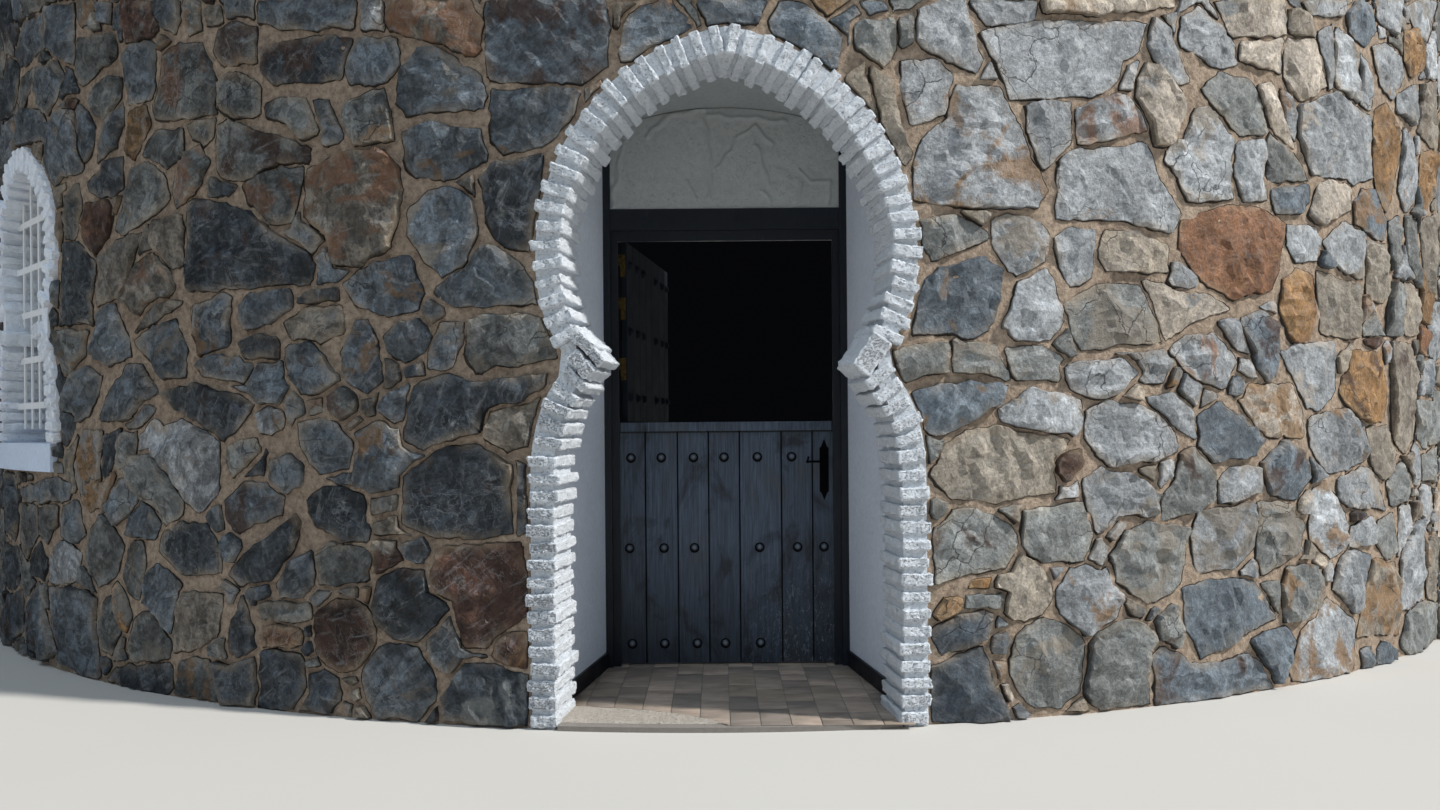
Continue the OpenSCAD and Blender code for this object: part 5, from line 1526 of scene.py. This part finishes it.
def trowelTympanum():  # hand-laid plaster over the door, with the ridges that the trowel left
    skin = {"columns": 190, "rows": 84, "out": 0.0015, "lumps": (0.010, (5, 5)), "fine": (0.0030, (21, 21)),
            "crown": 2.73, "round": 1.6, "wander": (0.016, 16), "ridges": (  # height, width and line of each ridge
                (0.010, 0.007, ((-0.10, 2.66), (-0.080, 2.62), (-0.065, 2.50), (-0.055, 2.38), (-0.075, 2.29))),
                (0.012, 0.008, ((-0.04, 2.443), (0.04, 2.516), (0.05, 2.574), (0.145, 2.633), (0.232, 2.555))),
                (0.010, 0.007, ((-0.176, 2.38), (-0.137, 2.288))),
                (0.010, 0.009, ((0.150, 2.55), (0.174, 2.497), (0.218, 2.36))),
                (0.009, 0.007, ((0.184, 2.32), (0.218, 2.27))),
                (0.009, 0.008, ((0.36, 2.43), (0.417, 2.37), (0.504, 2.37), (0.504, 2.25))),
                (0.008, 0.008, ((0.37, 2.36), (0.35, 2.27))),
                (0.010, 0.009, ((-0.49, 2.56), (-0.515, 2.42), (-0.545, 2.244))),
                (0.010, 0.012, ((-0.36, 2.60), (-0.27, 2.69), (-0.10, 2.72))),
                (0.010, 0.010, ((-0.07, 2.69), (0.10, 2.675), (0.30, 2.66))))}
    (lumps, lumpScale), (fine, fineScale), (wander, scale) = skin["lumps"], skin["fine"], skin["wander"]
    low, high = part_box("tympanum")
    bpy.ops.mesh.primitive_grid_add(x_subdivisions=skin["columns"], y_subdivisions=skin["rows"], size=2,
                                    location=(0, 0, 0), rotation=(0, 0, 0))
    piece = bpy.context.object
    for vertex in piece.data.vertices:
        x = low.x + 0.001 + (vertex.co.x + 1) / 2 * (high.x - low.x - 0.002)
        top = skin["crown"] - skin["round"] + math.sqrt(skin["round"] ** 2 - x * x) - 0.004
        z = low.z + 0.001 + (vertex.co.y + 1) / 2 * (min(top, high.z) - low.z - 0.002)
        out = skin["out"] + lumps * (0.5 + 0.5 * noiseAt(x, z, lumpScale, 1.3))
        out += fine * noiseAt(x, z, fineScale, 4.1)
        moved = noise.noise_vector(Vector((x * scale, z * scale, 8.2))) * wander
        px, pz = x + moved[0], z + moved[1]
        for rise, wide, line in skin["ridges"]:
            best = 9.0
            for (ax, az), (bx, bz) in zip(line, line[1:]):
                t = ((px - ax) * (bx - ax) + (pz - az) * (bz - az)) / ((bx - ax) ** 2 + (bz - az) ** 2)
                t = min(max(t, 0), 1)
                best = min(best, math.hypot(px - ax - t * (bx - ax), pz - az - t * (bz - az)))
            out += rise * math.exp(-(best / wide) ** 2)
        vertex.co = (x, low.y - out, z)
    piece.name = "tympanum_plaster"
    finishPiece(piece, looks["plaster"], "root", 60)
    print("stage: tympanum plastered,", len(skin["ridges"]), "ridges")


trowelTympanum()


# The tiled floor: long tiles laid into the doorway, with a mortar patch where they stop short on the left
field = {"wide": 0.12, "long": (0.24, 0.24, 0.12, 0.20), "joint": 0.004, "thick": 0.003, "columns": 12,
         "front": -1.055, "back": 0.285, "frameHalf": 0.5895, "seat": 0.014, "splay": 9.0, "revealBack": -0.05,
         "postFront": -0.055, "postWide": 0.075, "starts": (0.0, -0.06, -0.12, -0.18), "shortest": 0.012,
         "patchLine": ((-0.80, -0.70), (-0.636, -0.74), (-0.317, -0.82), (-0.118, -0.934), (0.0, -1.055)),
         "tones": ((157, 143, 131), (142, 130, 120), (167, 151, 138), (132, 123, 115), (152, 138, 124))}


def floorHalf(y):  # free width between the reveals, and between the posts behind them
    if y > field["postFront"]:
        return field["frameHalf"] - field["postWide"]
    return field["frameHalf"] - field["seat"] + (field["revealBack"] - y) * math.tan(math.radians(field["splay"]))


def floorFront(x):
    line = field["patchLine"]
    return max(field["front"], float(np.interp(x, [p[0] for p in line], [p[1] for p in line])))


def slab(corners, low, high):  # four corners in turn, from above
    bpy.ops.mesh.primitive_cube_add(size=1, location=(0, 0, 0))
    made = bpy.context.object
    for vertex in made.data.vertices:
        x, y, z = vertex.co
        corner = corners[(3 if x < 0 else 2) if y > 0 else (0 if x < 0 else 1)]
        vertex.co = (corner[0], corner[1], high if z > 0 else low)
    return made


def layTiles():
    rng = random.Random(3)
    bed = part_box("threshold_floor")[1].z
    gap = field["joint"] / 2
    parts = []
    for column in range(field["columns"]):
        x0 = (column - field["columns"] / 2) * field["wide"] + gap
        x1 = x0 + field["wide"] - 2 * gap
        near, far = min(abs(x0), abs(x1)), max(abs(x0), abs(x1))
        y = field["front"] + rng.choice(field["starts"])
        while y < field["back"] - 0.02:
            stop = min(y + rng.choice(field["long"]), field["back"])
            if y < field["postFront"] < stop:
                stop = field["postFront"]
            y0, y1 = y + gap, stop - gap
            y = stop
            while y1 > y0 and floorHalf(y1) < near + 0.008:
                y1 -= 0.004
            if y1 - y0 < field["shortest"] or y1 < min(floorFront(x0), floorFront(x1)) + 0.01:
                continue
            corners = []
            for yEnd, ahead, turned in ((y0, 0.0, 1), (y1, 0.002, -1)):
                reach = min(far, floorHalf(yEnd))
                for x in (max(x0, -reach), min(x1, reach))[::turned]:
                    corners.append((x, max(yEnd, floorFront(x) + ahead)))
            tile = slab(corners, bed, bed + field["thick"])
            tone = srgb(*rng.choice(field["tones"]))
            layer = tile.data.color_attributes.new("tone", "FLOAT_COLOR", "POINT")
            layer.data.foreach_set("color", np.tile(np.array(tone, np.float32), 8))
            parts.append(tile)
    piece = joined(parts, "floor_tiles")
    bevel = piece.modifiers.new("soft edges", "BEVEL")
    bevel.width = 0.0012
    bevel.segments = 2
    applyModifiers(piece)
    finishPiece(piece, looks["tile"], "root", 40)
    print("stage: tiles laid,", len(parts))


def spreadPatch():
    patch = {"columns": 60, "rows": 22, "left": -0.70, "wide": 0.69, "ragged": 0.010, "fromFront": 0.012,
             "thick": 0.0045, "lumps": 0.004, "fine": 0.002, "least": 0.001, "edge": 6}
    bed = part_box("threshold_floor")[1].z
    bpy.ops.mesh.primitive_grid_add(x_subdivisions=patch["columns"], y_subdivisions=patch["rows"], size=2,
                                    location=(0, 0, 0))
    piece = bpy.context.object
    for vertex in piece.data.vertices:
        x = patch["left"] + (vertex.co.x + 1) / 2 * patch["wide"]
        back = floorFront(x) + patch["ragged"] * noiseAt(x, 0.3, (14, 1), 0.0)
        x = max(x, -floorHalf(back))
        front = tower["axisY"] - math.sqrt(bodyRadius ** 2 - x * x) + patch["fromFront"]
        y = min(front, back) + (vertex.co.y + 1) / 2 * max(back - front, 0)
        lump = patch["lumps"] * noiseAt(x, y, (12, 12), 2.2) + patch["fine"] * noiseAt(x, y, (40, 40), 5)
        edge = min(1.0, (1 - abs(vertex.co.y)) * patch["edge"])
        vertex.co = (x, y, bed + 0.0005 + max(patch["thick"] + lump, patch["least"]) * edge)
    piece.name = "floor_patch"
    finishPiece(piece, looks["bedding"], "root", 60)
    print("stage: floor patch spread")


layTiles()
spreadPatch()

print("stage: done")
